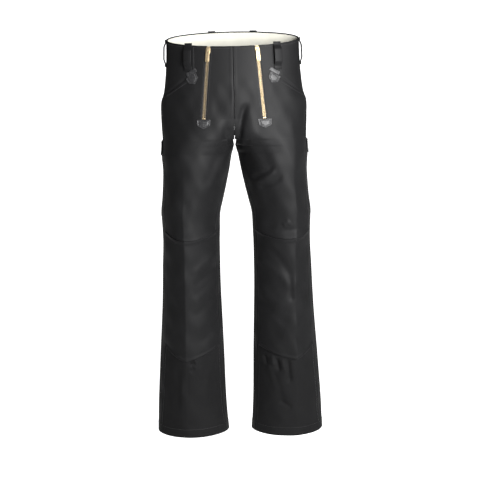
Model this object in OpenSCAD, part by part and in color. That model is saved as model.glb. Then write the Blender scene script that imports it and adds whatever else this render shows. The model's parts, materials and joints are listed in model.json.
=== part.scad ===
// Work trousers with a drop-front flap between two zips.
// Millimetres. +Z is up, the front faces -Y, +X is the wearer's left.
// The origin is the middle of the waist opening, level with the waist at the side seams.

/* [Legs] */
// Inside leg, from the hem to the crotch
inseam = 849; // [700:1:1030]
// Width of one leg at the hem
hem_w = 212; // [150:1:260]
// Width of one leg at the calf
calf_w = 189; // [140:1:230]
// Width of one leg at the knee
knee_w = 170; // [130:1:210]
// Width of one leg at the crotch
thigh_w = 206; // [170:1:240]
// Depth of one leg, front to back, at the hem
hem_d = 172; // [120:1:210]
// Depth of one leg, front to back, at the knee
knee_d = 158; // [120:1:200]
// Gap between the legs at the hem
hem_gap = 68; // [20:1:120]
// Gap between the legs at the knee
knee_gap = 98; // [40:1:150]
// Height of the turned-up hem
hem_h = 26; // [15:1:40]

/* [Body] */
// Height from the crotch to the waist at the side seam
rise = 299; // [265:1:360]
// Width across the waist
waist_w = 375; // [320:1:450]
// Depth of the waist opening, front to back
waist_d = 160; // [130:1:200]
// Width across the hips
hip_w = 416; // [400:1:500]
// How far the seat stands behind the side seams
seat_d = 131; // [110:1:160]
// How far the front of the waist drops below the side seams
front_drop = 23; // [0:1:40]
// Height of the waist lining
lining_h = 70; // [40:1:90]

/* [Cloth and leather] */
// Thickness of the trouser cloth
cloth_t = 1.2; // [0.8:0.1:1.6]
// Thickness of the lining
lining_t = 0.6; // [0.4:0.1:0.8]
// Thickness of the leather patches
leather_t = 1.5; // [1:0.1:2]
// Clearance between one layer and the next
layer_gap = 0.5; // [0.4:0.1:0.8]

/* [Zips] */
// Distance of each zip from the centre, at the waist
zip_top_x = 67; // [50:1:80]
// Distance of each zip from the centre, at its foot
zip_foot_x = 85; // [70:1:100]
// How far the zip's foot is below the waist at the side seam
zip_drop = 223; // [190:1:240]
// Width of the slit that shows the chain
slit_w = 15; // [14:0.5:18]
// Thickness of the teeth, front to back
tooth_d = 3; // [2:0.1:4]
// Distance from one tooth to the next on the same tape
tooth_pitch = 3; // [2:0.1:5]
// Thickness of the zip tape
tape_t = 0.6; // [0.4:0.1:0.7]
// Reach of each tape from the middle of the chain
tape_reach = 14; // [11:0.5:16]
// Length of the slider
slider_l = 19; // [14:0.5:20]
// Width of the slider
slider_w = 13; // [11:0.5:13]
// Length of the pull tab, from its pivot
pull_l = 31; // [24:1:45]
// Width of the pull tab
pull_w = 11; // [9:0.5:14]
// Radius of the holes in the pull tab
pull_hole_r = 1.6; // [1:0.1:2]

/* [Flap] */
// Height of the flap's fold above the zips' feet
fold_up = 28; // [26:1:40]

/* [Pockets] */
// Distance of the slash pocket's top corner from the centre
slash_x = 118; // [105:1:130]
// How far the slash pocket's top corner is below the waist
slash_top_drop = 95; // [85:1:110]
// How far the slash pocket reaches below the waist at the side seam
slash_foot_drop = 163; // [150:1:180]
// Depth of the slash pocket's bag below the waist
bag_drop = 292; // [250:1:320]
// Height of the ruler pocket's mouth above the hem
ruler_top = 865; // [780:1:870]
// Height of the ruler pocket
ruler_h = 220; // [150:1:260]
// Height of the back pockets
seat_pocket_h = 130; // [100:1:150]

/* [Knee panels] */
// Height of the knee panel's top seam above the hem, at the side seam
knee_top = 606; // [500:1:640]
// Height of the knee panel's foot seam above the hem, at the side seam
knee_foot = 263; // [200:1:320]
// How far the top seam dips in the middle
knee_top_dip = 25; // [0:1:40]
// How far the foot seam dips in the middle
knee_foot_dip = 38; // [0:1:50]

/* [Belt loops] */
// Width of a belt loop
loop_w = 22; // [14:1:28]
// Length of a belt loop
loop_l = 76; // [60:1:85]
// Room for a belt under each loop
loop_gap = 8; // [7:0.5:10]
// Distance of the front loops from the centre
loop_front_x = 122; // [110:1:130]
// Distance of the back loops from the centre
loop_back_x = 60; // [45:1:80]

/* [Hidden] */

// Half of the space left between two pieces that are sewn edge to edge
seam = 0.05;
// Depth of the hip panels under the front panels, and of the bags and the lining under both
under_front = cloth_t + layer_gap + 0.9;
under_hip = under_front + cloth_t + layer_gap + 0.5;
// How far the patch pockets stand off the cloth below them
pocket_out = layer_gap + 0.6;
// Running clearance of the zips' metal parts
run = 0.2;
// Cells that a panel has across its side part, its flap part and its back, and up its leg
side_cells = 9;
flap_cells = 5;
back_cells = 12;
leg_cells = 20;
front_cells = side_cells + 1 + flap_cells;

side_len = inseam + rise;
calf_h = 250;
knee_h = 474;
tilt = front_drop / (waist_d / 2);
zip_foot_h = side_len - zip_drop;
fold_h = zip_foot_h + fold_up;
slash_top = side_len - slash_top_drop;
slash_foot = side_len - slash_foot_drop;

// ---- the trousers' shape: every height is above the hem ----

function mix(a, b, s) = a + (b - a) * s;
function clip(v, low, high) = min(max(v, low), high);
function ease(s) = let (c = clip(s, 0, 1)) c * c * (3 - 2 * c);

// A smooth curve through points [height, value], which rise in height
function slope(p, i) = let (a = max(i - 1, 0), b = min(i + 1, len(p) - 1))
    (p[b][1] - p[a][1]) / (p[b][0] - p[a][0]);
function curve(p, h, i = 0) =
    h <= p[0][0] ? p[0][1] :
    h >= p[len(p) - 1][0] ? p[len(p) - 1][1] :
    h > p[i + 1][0] ? curve(p, h, i + 1) :
    let (d = p[i + 1][0] - p[i][0], s = (h - p[i][0]) / d)
    mix(p[i][1], p[i + 1][1], ease(s))
        + d * s * (1 - s) * ((1 - s) * slope(p, i) - s * slope(p, i + 1));

// The gap between the thighs: height below the crotch, and its share of the gap at the knee
fork = [[230, 0.96], [190, 0.9], [150, 0.7], [80, 0.38], [24, 0.18], [0, 0]];
gap_curve = concat([[0, hem_gap], [100, mix(hem_gap, knee_gap, 0.4)], [calf_h, mix(hem_gap, knee_gap, 0.6)],
    [knee_h, knee_gap]], [for (f = fork) [inseam - f[0], f[1] * knee_gap]]);
width_curve = [[0, hem_w], [calf_h, calf_w], [knee_h, knee_w], [inseam - 229, knee_w - 1],
    [inseam - 79, thigh_w - 17.5], [inseam, thigh_w]];
side_curve = [[inseam, thigh_w], [slash_foot - 45, hip_w / 2], [slash_foot - 10, hip_w / 2 - 1.5],
    [slash_foot + 15, hip_w / 2 - 9.5], [slash_foot + 65, mix(waist_w, hip_w, 0.22) / 2],
    [side_len - 45, waist_w / 2 + 1], [side_len, waist_w / 2]];
front_curve = [[0, hem_d / 2], [calf_h, hem_d / 2 - 6], [knee_h, knee_d / 2 + 3], [inseam - 199, 94],
    [inseam - 69, 105], [inseam, 105.5], [zip_foot_h, 98]];
back_curve = [[0, hem_d / 2], [calf_h, hem_d / 2 - 6], [knee_h, knee_d / 2 - 4], [inseam - 199, 90],
    [inseam - 69, 103], [inseam, 116], [inseam + 51, seat_d - 4], [inseam + 96, seat_d],
    [side_len - 148, seat_d - 4], [side_len - 88, 108], [side_len - 38, 92], [side_len, waist_d / 2]];

// How far the two legs' round sections stay apart: 1 at the crotch, 0 well above it
fork_h = 160;
function apart(h) = pow(max(0, 1 - (h - inseam) / fork_h), 2);
function half_w(h) = h < inseam ? curve(width_curve, h) / 2 : curve(side_curve, h) / (1 + apart(h));
function mid_x(h) = h < inseam ? curve(gap_curve, h) / 2 + half_w(h) : half_w(h) * apart(h);
function last_angle(h) = h <= inseam ? 180 : acos(-apart(h));

// The front is drawn so that each zip lies straight on it
zip_top_y = -waist_d / 2 * sqrt(1 - pow(zip_top_x / (waist_w / 2), 2));
zip_top_h = side_len + tilt * zip_top_y;
zip_foot_y = -98 * sqrt(1 - pow((zip_foot_x - mid_x(zip_foot_h)) / half_w(zip_foot_h), 2));
function up_zip(h) = (h - zip_foot_h) / (zip_top_h - zip_foot_h);
function zip_x(h) = mix(zip_foot_x, zip_top_x, up_zip(h));
function zip_y(h) = mix(zip_foot_y, zip_top_y, up_zip(h));
function front_d(h) = h <= zip_foot_h ? curve(front_curve, h)
    : -zip_y(h) / sqrt(1 - pow((zip_x(h) - mid_x(h)) / half_w(h), 2));
function back_d(h) = curve(back_curve, h);

// A point on the left half: angle 0 is the side seam, below 0 the front, above 0 the back
function skin(angle, h, out) =
    let (t = abs(angle), back = angle > 0, a = half_w(h), b = back ? back_d(h) : front_d(h),
        n = [b * cos(t), a * sin(t)] / norm([b * cos(t), a * sin(t)]),
        x = mid_x(h) + a * cos(t) + out * n[0], y = b * sin(t) + out * n[1])
    [max(x, seam), back ? max(y, seam) : min(-y, -seam), h];
function outward(angle, h) =
    let (t = abs(angle), b = angle > 0 ? back_d(h) : front_d(h), n = [b * cos(t), half_w(h) * sin(t)])
    [n[0], (angle > 0 ? 1 : -1) * n[1], 0] / norm(n);
function angle_at(x, h) = acos(clip((x - mid_x(h)) / half_w(h), -1, 1));

// A level is a height that tilts with the waist's edge above the fold
function edge_h(angle) = side_len + (angle > 0 ? 1 : -1) * tilt * waist_d / 2 * sin(abs(angle));
function level_h(level, angle) = level <= fold_h ? level
    : mix(fold_h, edge_h(angle), (level - fold_h) / (side_len - fold_h));
function zip_angle(level, away) = let (h = level_h(level, -75)) angle_at(zip_x(h) + away, h);
function slash_angle(level) = level >= slash_top ? angle_at(slash_x, level)
    : angle_at(slash_x, slash_top) * pow(clip((level - slash_foot) / (slash_top - slash_foot), 0, 1), 0.58);
function centre_angle(level) = last_angle(level_h(level, -90));

// Angle of column i of the front, from the side seam or the slash to the centre or the inseam
function front_angle(i, level) =
    level < zip_foot_h ? front_angle(i, zip_foot_h) / centre_angle(zip_foot_h) * last_angle(level) :
    i <= side_cells ? mix(slash_angle(level), zip_angle(level, slit_w / 2), i / side_cells)
    : mix(zip_angle(level, -slit_w / 2), centre_angle(level), (i - side_cells - 1) / flap_cells);

function steps(a, b, n) = [for (k = [1:n]) mix(a, b, k / n)];
function fork_levels(top, n) = [for (k = [1:n]) mix(inseam, top, pow(k / n, 1.8))];
leg_levels = concat([0], steps(0, inseam, leg_cells));
slash_levels = [for (k = [1:6]) mix(slash_foot, slash_top, pow(k / 6, 1.7))];
flap_levels = concat([slash_foot], slash_levels, steps(slash_top, side_len, 3));
front_levels = concat(leg_levels, fork_levels(zip_foot_h, 6), steps(zip_foot_h, fold_h, 2),
    [(fold_h + slash_foot) / 2], flap_levels);
back_levels = concat(leg_levels, fork_levels(fold_h, 7), steps(fold_h, side_len, 12));

// ---- building blocks ----

// A closed sheet between two offsets of a grid. point(i, j, k) gives its outer face at k = 1 and
// its inner face at k = 0; keep(i, j) says which cells are cloth. turned: columns run the other way.
module sheet(cols, rows, point, keep = function(i, j) true, turned = false) {
    n = (cols + 1) * (rows + 1);
    points = [for (k = [1, 0]) for (j = [0:rows]) for (i = [0:cols]) point(i, j, k)];
    id = function(k, i, j) (1 - k) * n + j * (cols + 1) + i;
    on = function(i, j) i >= 0 && i < cols && j >= 0 && j < rows && keep(i, j);
    quads = [for (j = [0:rows - 1]) for (i = [0:cols - 1]) if (on(i, j))
        let (a = [i, j], b = [i + 1, j], c = [i + 1, j + 1], d = [i, j + 1],
            v = function(k, p) id(k, p[0], p[1]))
        each concat([[v(1, b), v(1, c), v(1, d), v(1, a)], [v(0, b), v(0, a), v(0, d), v(0, c)]],
            on(i, j - 1) ? [] : [[v(1, b), v(1, a), v(0, a), v(0, b)]],
            on(i + 1, j) ? [] : [[v(1, c), v(1, b), v(0, b), v(0, c)]],
            on(i, j + 1) ? [] : [[v(1, d), v(1, c), v(0, c), v(0, d)]],
            on(i - 1, j) ? [] : [[v(1, a), v(1, d), v(0, d), v(0, a)]])];
    triangles = [for (q = quads) each [[q[0], q[1], q[2]], [q[0], q[2], q[3]]]];
    polyhedron(points, turned ? [for (t = triangles) [t[2], t[1], t[0]]] : triangles);
}

// Puts a piece made for the left half on the left or the right
module on_side(left) {
    translate([0, 0, -side_len]) mirror([left ? 0 : 1, 0, 0]) children();
}

// The place of a small part: x along the surface away from the centre, y inwards, z along `up`
function place(origin, up, out) =
    let (z = up / norm(up), y0 = -out + (out * z) * z, y = y0 / norm(y0), x = cross(y, z))
    [[x[0], y[0], z[0], origin[0]], [x[1], y[1], z[1], origin[1]],
        [x[2], y[2], z[2], origin[2]], [0, 0, 0, 1]];

// A patch around a point of the surface. corner(u, v) gives millimetres across and up, for u and v 0 to 1
module patch(angle, h, out, thick, cols, rows, corner) {
    t = abs(angle);
    b = angle > 0 ? back_d(h) : front_d(h);
    degree = norm([half_w(h) * sin(t), b * cos(t)]) * PI / 180;
    sheet(cols, rows, function(i, j, k)
        let (c = corner(i / cols, j / rows))
        skin(angle - c[0] / degree, h + c[1], out + k * thick));
}

// ---- cloth ----

module front_panel() {
    rows = len(front_levels) - 1;
    sheet(front_cells, rows,
        function(i, j, k)
            let (level = front_levels[j], t = front_angle(i, level))
            skin(-t, level_h(level, -t), (k - 1) * cloth_t),
        function(i, j) front_levels[j] < zip_foot_h || i < side_cells
            || (i > side_cells && front_levels[j] < fold_h - seam));
}

module flap_half() {
    levels = concat([fold_h + 2 * seam], flap_levels);
    sheet(flap_cells, len(levels) - 1,
        function(i, j, k)
            let (level = levels[j], t = front_angle(side_cells + 1 + i, level))
            skin(-t, level_h(level, -t), (k - 1) * cloth_t));
}

// The hip panel goes on under the front panel, as the back of the pocket's mouth
module hip_panel() {
    cols = 7;
    under = 9;
    foot_up = 3;
    levels = concat([slash_foot + foot_up], slash_levels, steps(slash_top, side_len, 3));
    foot_angle = slash_angle(slash_levels[0]) * foot_up / (slash_levels[0] - slash_foot);
    sheet(cols, len(levels) - 1,
        function(i, j, k)
            let (level = levels[j], mouth = j == 0 ? foot_angle : slash_angle(level),
                t = (mouth + under) * i / cols)
            skin(-t, level_h(level, -t), -under_front * ease(t / mouth * 1.3) - (1 - k) * cloth_t));
}

module back_panel() {
    sheet(back_cells, len(back_levels) - 1,
        function(i, j, k)
            let (level = back_levels[j], t = i / back_cells * last_angle(level_h(level, 90)))
            skin(max(t, 0.001), level_h(level, t), (k - 1) * cloth_t),
        turned = true);
}

module knee_panel() {
    rows = 10;
    hem_in = 2.5;
    sheet(front_cells, rows,
        function(i, j, k)
            let (t = clip(front_angle(i, knee_top), hem_in, 180 - hem_in),
                h = mix(knee_foot - knee_foot_dip * sin(t), knee_top - knee_top_dip * sin(t), j / rows))
            skin(-t, h, layer_gap + k * cloth_t));
}

module hem_facing() {
    low = 1;
    out = -cloth_t - layer_gap;
    sheet(front_cells, 1, function(i, j, k)
        skin(-front_angle(i, low), mix(low, hem_h, j), out - (1 - k) * lining_t));
    sheet(back_cells, 1, function(i, j, k)
        skin(max(i / back_cells * 180, 0.001), mix(low, hem_h, j), out - (1 - k) * lining_t), turned = true);
}

module waist_lining_half() {
    rows = 5;
    top = side_len - 1.5;
    level = function(j) mix(side_len - lining_h, top, j / rows);
    back_out = -cloth_t - layer_gap;
    cols = 8;
    sheet(back_cells, rows, function(i, j, k)
        let (t = i / back_cells * 90)
        skin(max(t, 0.001), level_h(level(j), t),
             mix(-under_hip, back_out, ease(i / 2)) - (1 - k) * lining_t),
        turned = true);
    sheet(cols, rows, function(i, j, k)
        let (t = mix(0, zip_angle(level(j), tape_reach + 2), i / cols))
        skin(-t, level_h(level(j), -t), -under_hip - (1 - k) * lining_t));
}

module flap_lining_half() {
    rows = 5;
    cols = 4;
    out = -cloth_t - layer_gap;
    sheet(cols, rows, function(i, j, k)
        let (level = mix(fold_h + 3, side_len - 1.5, j / rows),
            t = mix(zip_angle(level, -tape_reach - 2), centre_angle(level), i / cols))
        skin(-t, level_h(level, -t), out - (1 - k) * lining_t));
}

module pocket_bag() {
    cols = 9;
    foot = max(side_len - bag_drop, inseam + 3);
    top = slash_top - 10;
    levels = concat([foot], [for (l = front_levels) if (l > foot + 2 && l < top - 2) l], [top]);
    sheet(cols, len(levels) - 1, function(i, j, k)
        let (level = levels[j], t = mix(5, zip_angle(fold_h, tape_reach + 6), i / cols),
            rim = (i == 0 || i == cols || j == 0) && level < slash_foot - 20)
        skin(-t, level_h(level, -t), (rim ? -cloth_t - 2.4 * layer_gap : -under_hip) - (1 - k) * lining_t));
}

module ruler_pocket() {
    rows = 8;
    cols = 8;
    lift = 3;
    foot = ruler_top - ruler_h;
    sheet(cols, rows, function(i, j, k)
        skin(mix(2, 78, i / cols), mix(foot, ruler_top, j / rows),
            pocket_out + lift * pow(j / rows, 3) * sin(180 * max(i - 1, 0) / (cols - 1)) + k * cloth_t),
        turned = true);
}

module seat_pocket() {
    rows = 5;
    cols = 7;
    foot = side_len - 243;
    clip_h = 14;
    sheet(cols, rows, function(i, j, k)
        let (h = mix(foot + clip_h * abs(2 * i / cols - 1), foot + seat_pocket_h, j / rows))
        skin(mix(38, 80, i / cols), h, pocket_out + k * cloth_t), turned = true);
}

// ---- leather ----

// A pentagon with its point down, w wide and h tall, its top edge at v = 1
function pentagon(u, v, w, h) =
    let (shoulder = 0.38, half = w / 2 * clip(mix(0.06, 1, v / shoulder), 0, 1))
    [(2 * u - 1) * half, (v - 1) * h];
function turn(p, a) = [p[0] * cos(a) - p[1] * sin(a), p[0] * sin(a) + p[1] * cos(a)];

module zip_end_patch() {
    h = zip_foot_h;
    patch(-angle_at(zip_foot_x, h), h, layer_gap, leather_t, 6, 6,
        function(u, v) pentagon(u, v, 39, 26));
}

module pocket_patch() {
    patch(-angle_at(slash_x, slash_top), slash_top - 6, layer_gap, leather_t, 6, 6,
        function(u, v) turn(pentagon(u, v, 34, 26), 28));
}

module pocket_bar() {
    patch(-angle_at(slash_x, slash_top), slash_top - 4, layer_gap, leather_t, 6, 1,
        function(u, v) turn([(2 * u - 1) * 16, v * 10], 28));
}

module ruler_patch() {
    patch(2, ruler_top - 43, pocket_out + cloth_t + 1.2, leather_t, 8, 4,
        function(u, v) [(2 * u - 1) * (18 - 5 * ease(1 - v * 3)), v * 40]);
}

// ---- belt loops ----

// A strap whose ends are sewn down and whose middle stands off, w wide, from z = 0 up
module loop_strap(foot) {
    sewn = 8;
    bend = 14;
    strap_t = 1.6;
    rise_at = function(z) foot + loop_gap * ease((min(z, loop_l - z) - sewn) / bend);
    line = concat([0], steps(sewn, sewn + bend, 4), steps(loop_l - sewn - bend, loop_l - sewn, 4), [loop_l]);
    inner = [for (z = line) [-rise_at(z), z]];
    outer = [for (k = [len(line) - 1:-1:0]) [-rise_at(line[k]) - strap_t, line[k]]];
    rotate([90, 0, 90]) translate([0, 0, -loop_w / 2]) linear_extrude(loop_w) polygon(concat(inner, outer));
}

module belt_loop(angle, above, foot = 1) {
    top = edge_h(angle) + above;
    a = skin(angle, top - loop_l, 0);
    b = skin(angle, top, 0);
    multmatrix(place(a, b - a, outward(angle, top - loop_l / 2))) loop_strap(foot);
}

// The front loops end over the bar at the pocket's corner
module front_loop() {
    belt_loop(-angle_at(loop_front_x, side_len - 18), 0, leather_t + 2 * layer_gap);
}

// ---- zips: x across the chain, y inwards from the cloth's face, z up the chain ----

zip_foot = [zip_foot_x, zip_foot_y, zip_foot_h];
zip_top = [zip_top_x, zip_top_y, zip_top_h];
zip_l = norm(zip_top - zip_foot);
zip_place = place(zip_foot, zip_top - zip_foot,
    outward(-angle_at(zip_x(fold_h + 80), fold_h + 80), fold_h + 80));
// Depth of the chain's middle, and places along the chain
chain_y = cloth_t + layer_gap + tape_t / 2 + 0.3;
stop_z = 0.6;
stop_l = 4;
first_tooth = stop_z + stop_l + 0.8;
fold_z = fold_up * zip_l / (zip_top_h - zip_foot_h);
top_stop_l = 3;
last_tooth = zip_l - top_stop_l - 4;
// Half of the straight slot that the slider's web runs in
web_slot = 0.7;
tooth_reach = 4.4;

module in_zip() { multmatrix(zip_place) children(); }

module tooth(z) {
    d = tooth_d / 2;
    slot = tape_t / 2 + seam;
    translate([0, 0, z]) linear_extrude(tooth_pitch * 0.43)
        polygon([[web_slot, -d + 0.5], [web_slot + 0.5, -d], [tooth_reach, -d], [tooth_reach, -slot],
            [2.4, -slot], [2.4, slot], [tooth_reach, slot], [tooth_reach, d], [web_slot + 0.5, d],
            [web_slot, d - 0.5]]);
}

// Teeth of one tape. The flap's tape is on the side nearer the centre, half a pitch further up
module teeth(low, high, flap) {
    in_zip() translate([0, chain_y, 0]) mirror([flap ? 1 : 0, 0, 0])
        for (k = [0:floor((high - low) / tooth_pitch)])
            tooth(low + (k + (flap ? 0.5 : 0)) * tooth_pitch);
}

module tape(low, high, flap, reach = tape_reach) {
    edge = 2.45;
    in_zip() mirror([flap ? 1 : 0, 0, 0])
        translate([edge, chain_y - tape_t / 2, low]) cube([reach - edge, tape_t, high - low]);
}

module stop_block(low, tall, half) {
    d = tooth_d / 2 + 0.3;
    in_zip() translate([0, chain_y, low]) linear_extrude(tall) difference() {
        translate([-half, -d]) square([2 * half, 2 * d]);
        for (side = [-1, 1])
            translate([side * (half + 2.4) / 2 - (half - 2.4) / 2 - 0.01, -tape_t / 2 - seam])
                square([half - 2.4 + 0.02, tape_t + 2 * seam]);
    }
}

module top_stop(flap) {
    d = tooth_d / 2;
    in_zip() translate([0, chain_y, zip_l - top_stop_l - 0.4]) mirror([flap ? 1 : 0, 0, 0])
        linear_extrude(top_stop_l) difference() {
            translate([web_slot, -d]) square([3.6, 2 * d]);
            translate([2.4, -tape_t / 2 - seam]) square([3, tape_t + 2 * seam]);
        }
}

// The slider at rest, at the top of its chain
plate_t = 1.5;
slider_rest = zip_l - top_stop_l - 0.6 - slider_l;
slider_low = stop_z + stop_l + 0.4;
slider_travel = slider_rest - slider_low;
plate_y = chain_y - tooth_d / 2 - run - plate_t;
pivot_z = slider_l * 0.47;
pivot_y = plate_y - 3.5;
bar_r = 0.9;
bridge_w = 3;

module slider_plate() {
    w = slider_w / 2;
    l = slider_l;
    linear_extrude(plate_t)
        polygon([[-w + 2, 0], [w - 2, 0], [w, 0.4 * l], [w, 0.75 * l], [w - 1.5, l], [-w + 1.5, l],
            [-w, 0.75 * l], [-w, 0.4 * l]]);
}

module slider() {
    inside = tooth_d + 2 * run;
    leg_in = 2.5;
    leg_t = 1.3;
    leg_out = leg_in + leg_t;
    crown = 4.8;
    in_zip() translate([0, 0, slider_rest]) {
        for (y = [plate_y + plate_t, plate_y + inside + 2 * plate_t])
            translate([0, y, 0]) rotate([90, 0, 0]) slider_plate();
        web = 2 * (web_slot - run);
        translate([-web / 2, plate_y + plate_t / 2, slider_l - 7]) cube([web, inside + plate_t, 6]);
        translate([-bridge_w / 2, plate_y, pivot_z]) rotate([90, 0, 90]) linear_extrude(bridge_w)
            difference() {
                translate([-crown - leg_t, -leg_out]) square([crown + leg_t + 0.2, 2 * leg_out]);
                translate([-crown, -leg_in]) square([crown, 2 * leg_in]);
            }
    }
}

module pull() {
    tab_t = 1.6;
    slot_w = bridge_w + 1.4;
    slot_end = 7;
    corner = 2;
    hole_step = 7;
    in_zip() translate([0, pivot_y, slider_rest + pivot_z]) difference() {
        union() {
            rotate([0, 90, 0]) cylinder(r = bar_r, h = pull_w, center = true, $fn = 48);
            translate([0, tab_t / 2, 0]) rotate([90, 0, 0]) linear_extrude(tab_t)
                polygon([[-pull_w / 2, 0], [-pull_w / 2, corner - pull_l], [corner - pull_w / 2, -pull_l],
                    [pull_w / 2 - corner, -pull_l], [pull_w / 2, corner - pull_l], [pull_w / 2, 0]]);
        }
        translate([-slot_w / 2, -tab_t, -slot_end]) cube([slot_w, 2 * tab_t, slot_end - bar_r]);
        for (k = [0:2]) translate([0, 0, -pull_l + 4 + k * hole_step])
            rotate([90, 0, 0]) cylinder(r = pull_hole_r, h = 2 * tab_t, center = true, $fn = 48);
    }
}

// ---- colours ----

module cloth(left) { color("#2b2b2c") on_side(left) children(); }
module cream(left) { color("#efece2") on_side(left) children(); }
module leather(left) { color("#161616") on_side(left) children(); }
module tape_black(left) { color("#1c1c1c") on_side(left) children(); }
module brass(left) { color("#c9ac6a") on_side(left) children(); }

// ---- nodes ----

cloth(true) front_panel();  // front_panel_left
cloth(false) front_panel();  // front_panel_right
cloth(true) hip_panel();  // hip_panel_left
cloth(false) hip_panel();  // hip_panel_right
cloth(true) back_panel();  // back_panel_left
cloth(false) back_panel();  // back_panel_right
cloth(true) knee_panel();  // knee_panel_left
cloth(false) knee_panel();  // knee_panel_right
cloth(true) hem_facing();  // hem_facing_left
cloth(false) hem_facing();  // hem_facing_right
union() {  // waist_lining
    cream(true) waist_lining_half();
    cream(false) waist_lining_half();
}
cream(true) pocket_bag();  // pocket_bag_left
cream(false) pocket_bag();  // pocket_bag_right
cloth(true) ruler_pocket();  // ruler_pocket_left
cloth(false) ruler_pocket();  // ruler_pocket_right
cloth(true) seat_pocket();  // seat_pocket_left
cloth(false) seat_pocket();  // seat_pocket_right
cloth(true) front_loop();  // front_loop_left
cloth(false) front_loop();  // front_loop_right
cloth(true) belt_loop(0.001, 0);  // side_loop_left
cloth(false) belt_loop(0.001, 0);  // side_loop_right
cloth(true) belt_loop(angle_at(loop_back_x, side_len), 4);  // back_loop_left
cloth(false) belt_loop(angle_at(loop_back_x, side_len), 4);  // back_loop_right
tape_black(true) tape(-10, zip_l - 0.4, false);  // zip_tape_left
tape_black(false) tape(-10, zip_l - 0.4, false);  // zip_tape_right
brass(true) teeth(first_tooth, last_tooth, false);  // zip_teeth_left
brass(false) teeth(first_tooth, last_tooth, false);  // zip_teeth_right
union() {  // foot_tapes
    tape_black(true) tape(-10, fold_z - 0.4, true, tape_reach - 4);
    tape_black(false) tape(-10, fold_z - 0.4, true, tape_reach - 4);
}
union() {  // foot_teeth
    brass(true) teeth(first_tooth, fold_z - 2 * tooth_pitch, true);
    brass(false) teeth(first_tooth, fold_z - 2 * tooth_pitch, true);
}
brass(true) stop_block(stop_z, stop_l, 4.4);  // bottom_stop_left
brass(false) stop_block(stop_z, stop_l, 4.4);  // bottom_stop_right
union() {  // top_stops
    brass(true) top_stop(false);
    brass(false) top_stop(false);
}
leather(true) zip_end_patch();  // zip_end_patch_left
leather(false) zip_end_patch();  // zip_end_patch_right
leather(true) pocket_patch();  // pocket_patch_left
leather(false) pocket_patch();  // pocket_patch_right
leather(true) pocket_bar();  // pocket_bar_left
leather(false) pocket_bar();  // pocket_bar_right
leather(true) ruler_patch();  // ruler_patch_left
leather(false) ruler_patch();  // ruler_patch_right
cloth(true) flap_half();  // flap_left
cloth(false) flap_half();  // flap_right
union() {  // flap_lining
    cream(true) flap_lining_half();
    cream(false) flap_lining_half();
}
tape_black(true) tape(fold_z + 0.8, zip_l - 0.4, true);  // flap_tape_left
tape_black(false) tape(fold_z + 0.8, zip_l - 0.4, true);  // flap_tape_right
brass(true) teeth(fold_z + 4, last_tooth, true);  // flap_teeth_left
brass(false) teeth(fold_z + 4, last_tooth, true);  // flap_teeth_right
union() {  // flap_stops
    brass(true) top_stop(true);
    brass(false) top_stop(true);
}
brass(true) slider();  // slider_left
brass(false) slider();  // slider_right
brass(true) pull();  // pull_left
brass(false) pull();  // pull_right
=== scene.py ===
"""Work trousers with a drop-front flap: cloth, leather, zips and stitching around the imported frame.

Lengths are in metres and angles in degrees. A height is measured up from the hem. On each leg the
angle is 0 at the side seam and 180 at the inside of the leg, below 0 at the front, above 0 at the back.
"""

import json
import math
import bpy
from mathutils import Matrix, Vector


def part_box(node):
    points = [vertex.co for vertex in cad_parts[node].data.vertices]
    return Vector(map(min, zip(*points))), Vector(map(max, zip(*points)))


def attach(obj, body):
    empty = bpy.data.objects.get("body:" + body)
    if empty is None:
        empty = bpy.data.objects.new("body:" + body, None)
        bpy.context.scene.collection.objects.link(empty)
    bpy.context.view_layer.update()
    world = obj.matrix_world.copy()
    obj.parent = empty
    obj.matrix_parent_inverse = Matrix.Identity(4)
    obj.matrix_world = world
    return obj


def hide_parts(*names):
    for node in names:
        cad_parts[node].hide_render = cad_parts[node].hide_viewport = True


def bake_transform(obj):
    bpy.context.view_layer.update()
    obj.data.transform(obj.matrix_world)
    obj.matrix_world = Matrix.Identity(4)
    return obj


bl_info = {
    "name": "Work Trousers",
    "version": (1, 0, 0),
    "blender": (4, 5, 0),
    "location": "View3D > Sidebar > Trousers",
    "description": "Builds a pair of flared work trousers with a drop-front flap between two zips",
    "category": "Object",
}

import bpy
import numpy as np
from bpy.props import FloatProperty, FloatVectorProperty, PointerProperty
from mathutils import Matrix, Vector

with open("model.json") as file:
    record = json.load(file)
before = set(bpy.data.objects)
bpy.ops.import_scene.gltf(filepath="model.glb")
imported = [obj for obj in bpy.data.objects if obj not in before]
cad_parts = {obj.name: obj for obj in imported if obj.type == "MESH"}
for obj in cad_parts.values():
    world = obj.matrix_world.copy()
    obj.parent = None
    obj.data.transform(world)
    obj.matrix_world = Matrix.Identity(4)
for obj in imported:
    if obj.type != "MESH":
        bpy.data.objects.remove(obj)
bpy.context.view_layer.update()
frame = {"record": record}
RECORD_COLOURS = {m["slot"]: m["base_color"] for m in frame["record"]["materials"]}

MM = 0.001
LEFT, RIGHT = 1, -1
SIDE_WORDS = {LEFT: "left", RIGHT: "right"}
SIDES_OF = tuple((word, side) for side, word in SIDE_WORDS.items())

# ---- the trousers' shape, as the frame has it ----

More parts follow.
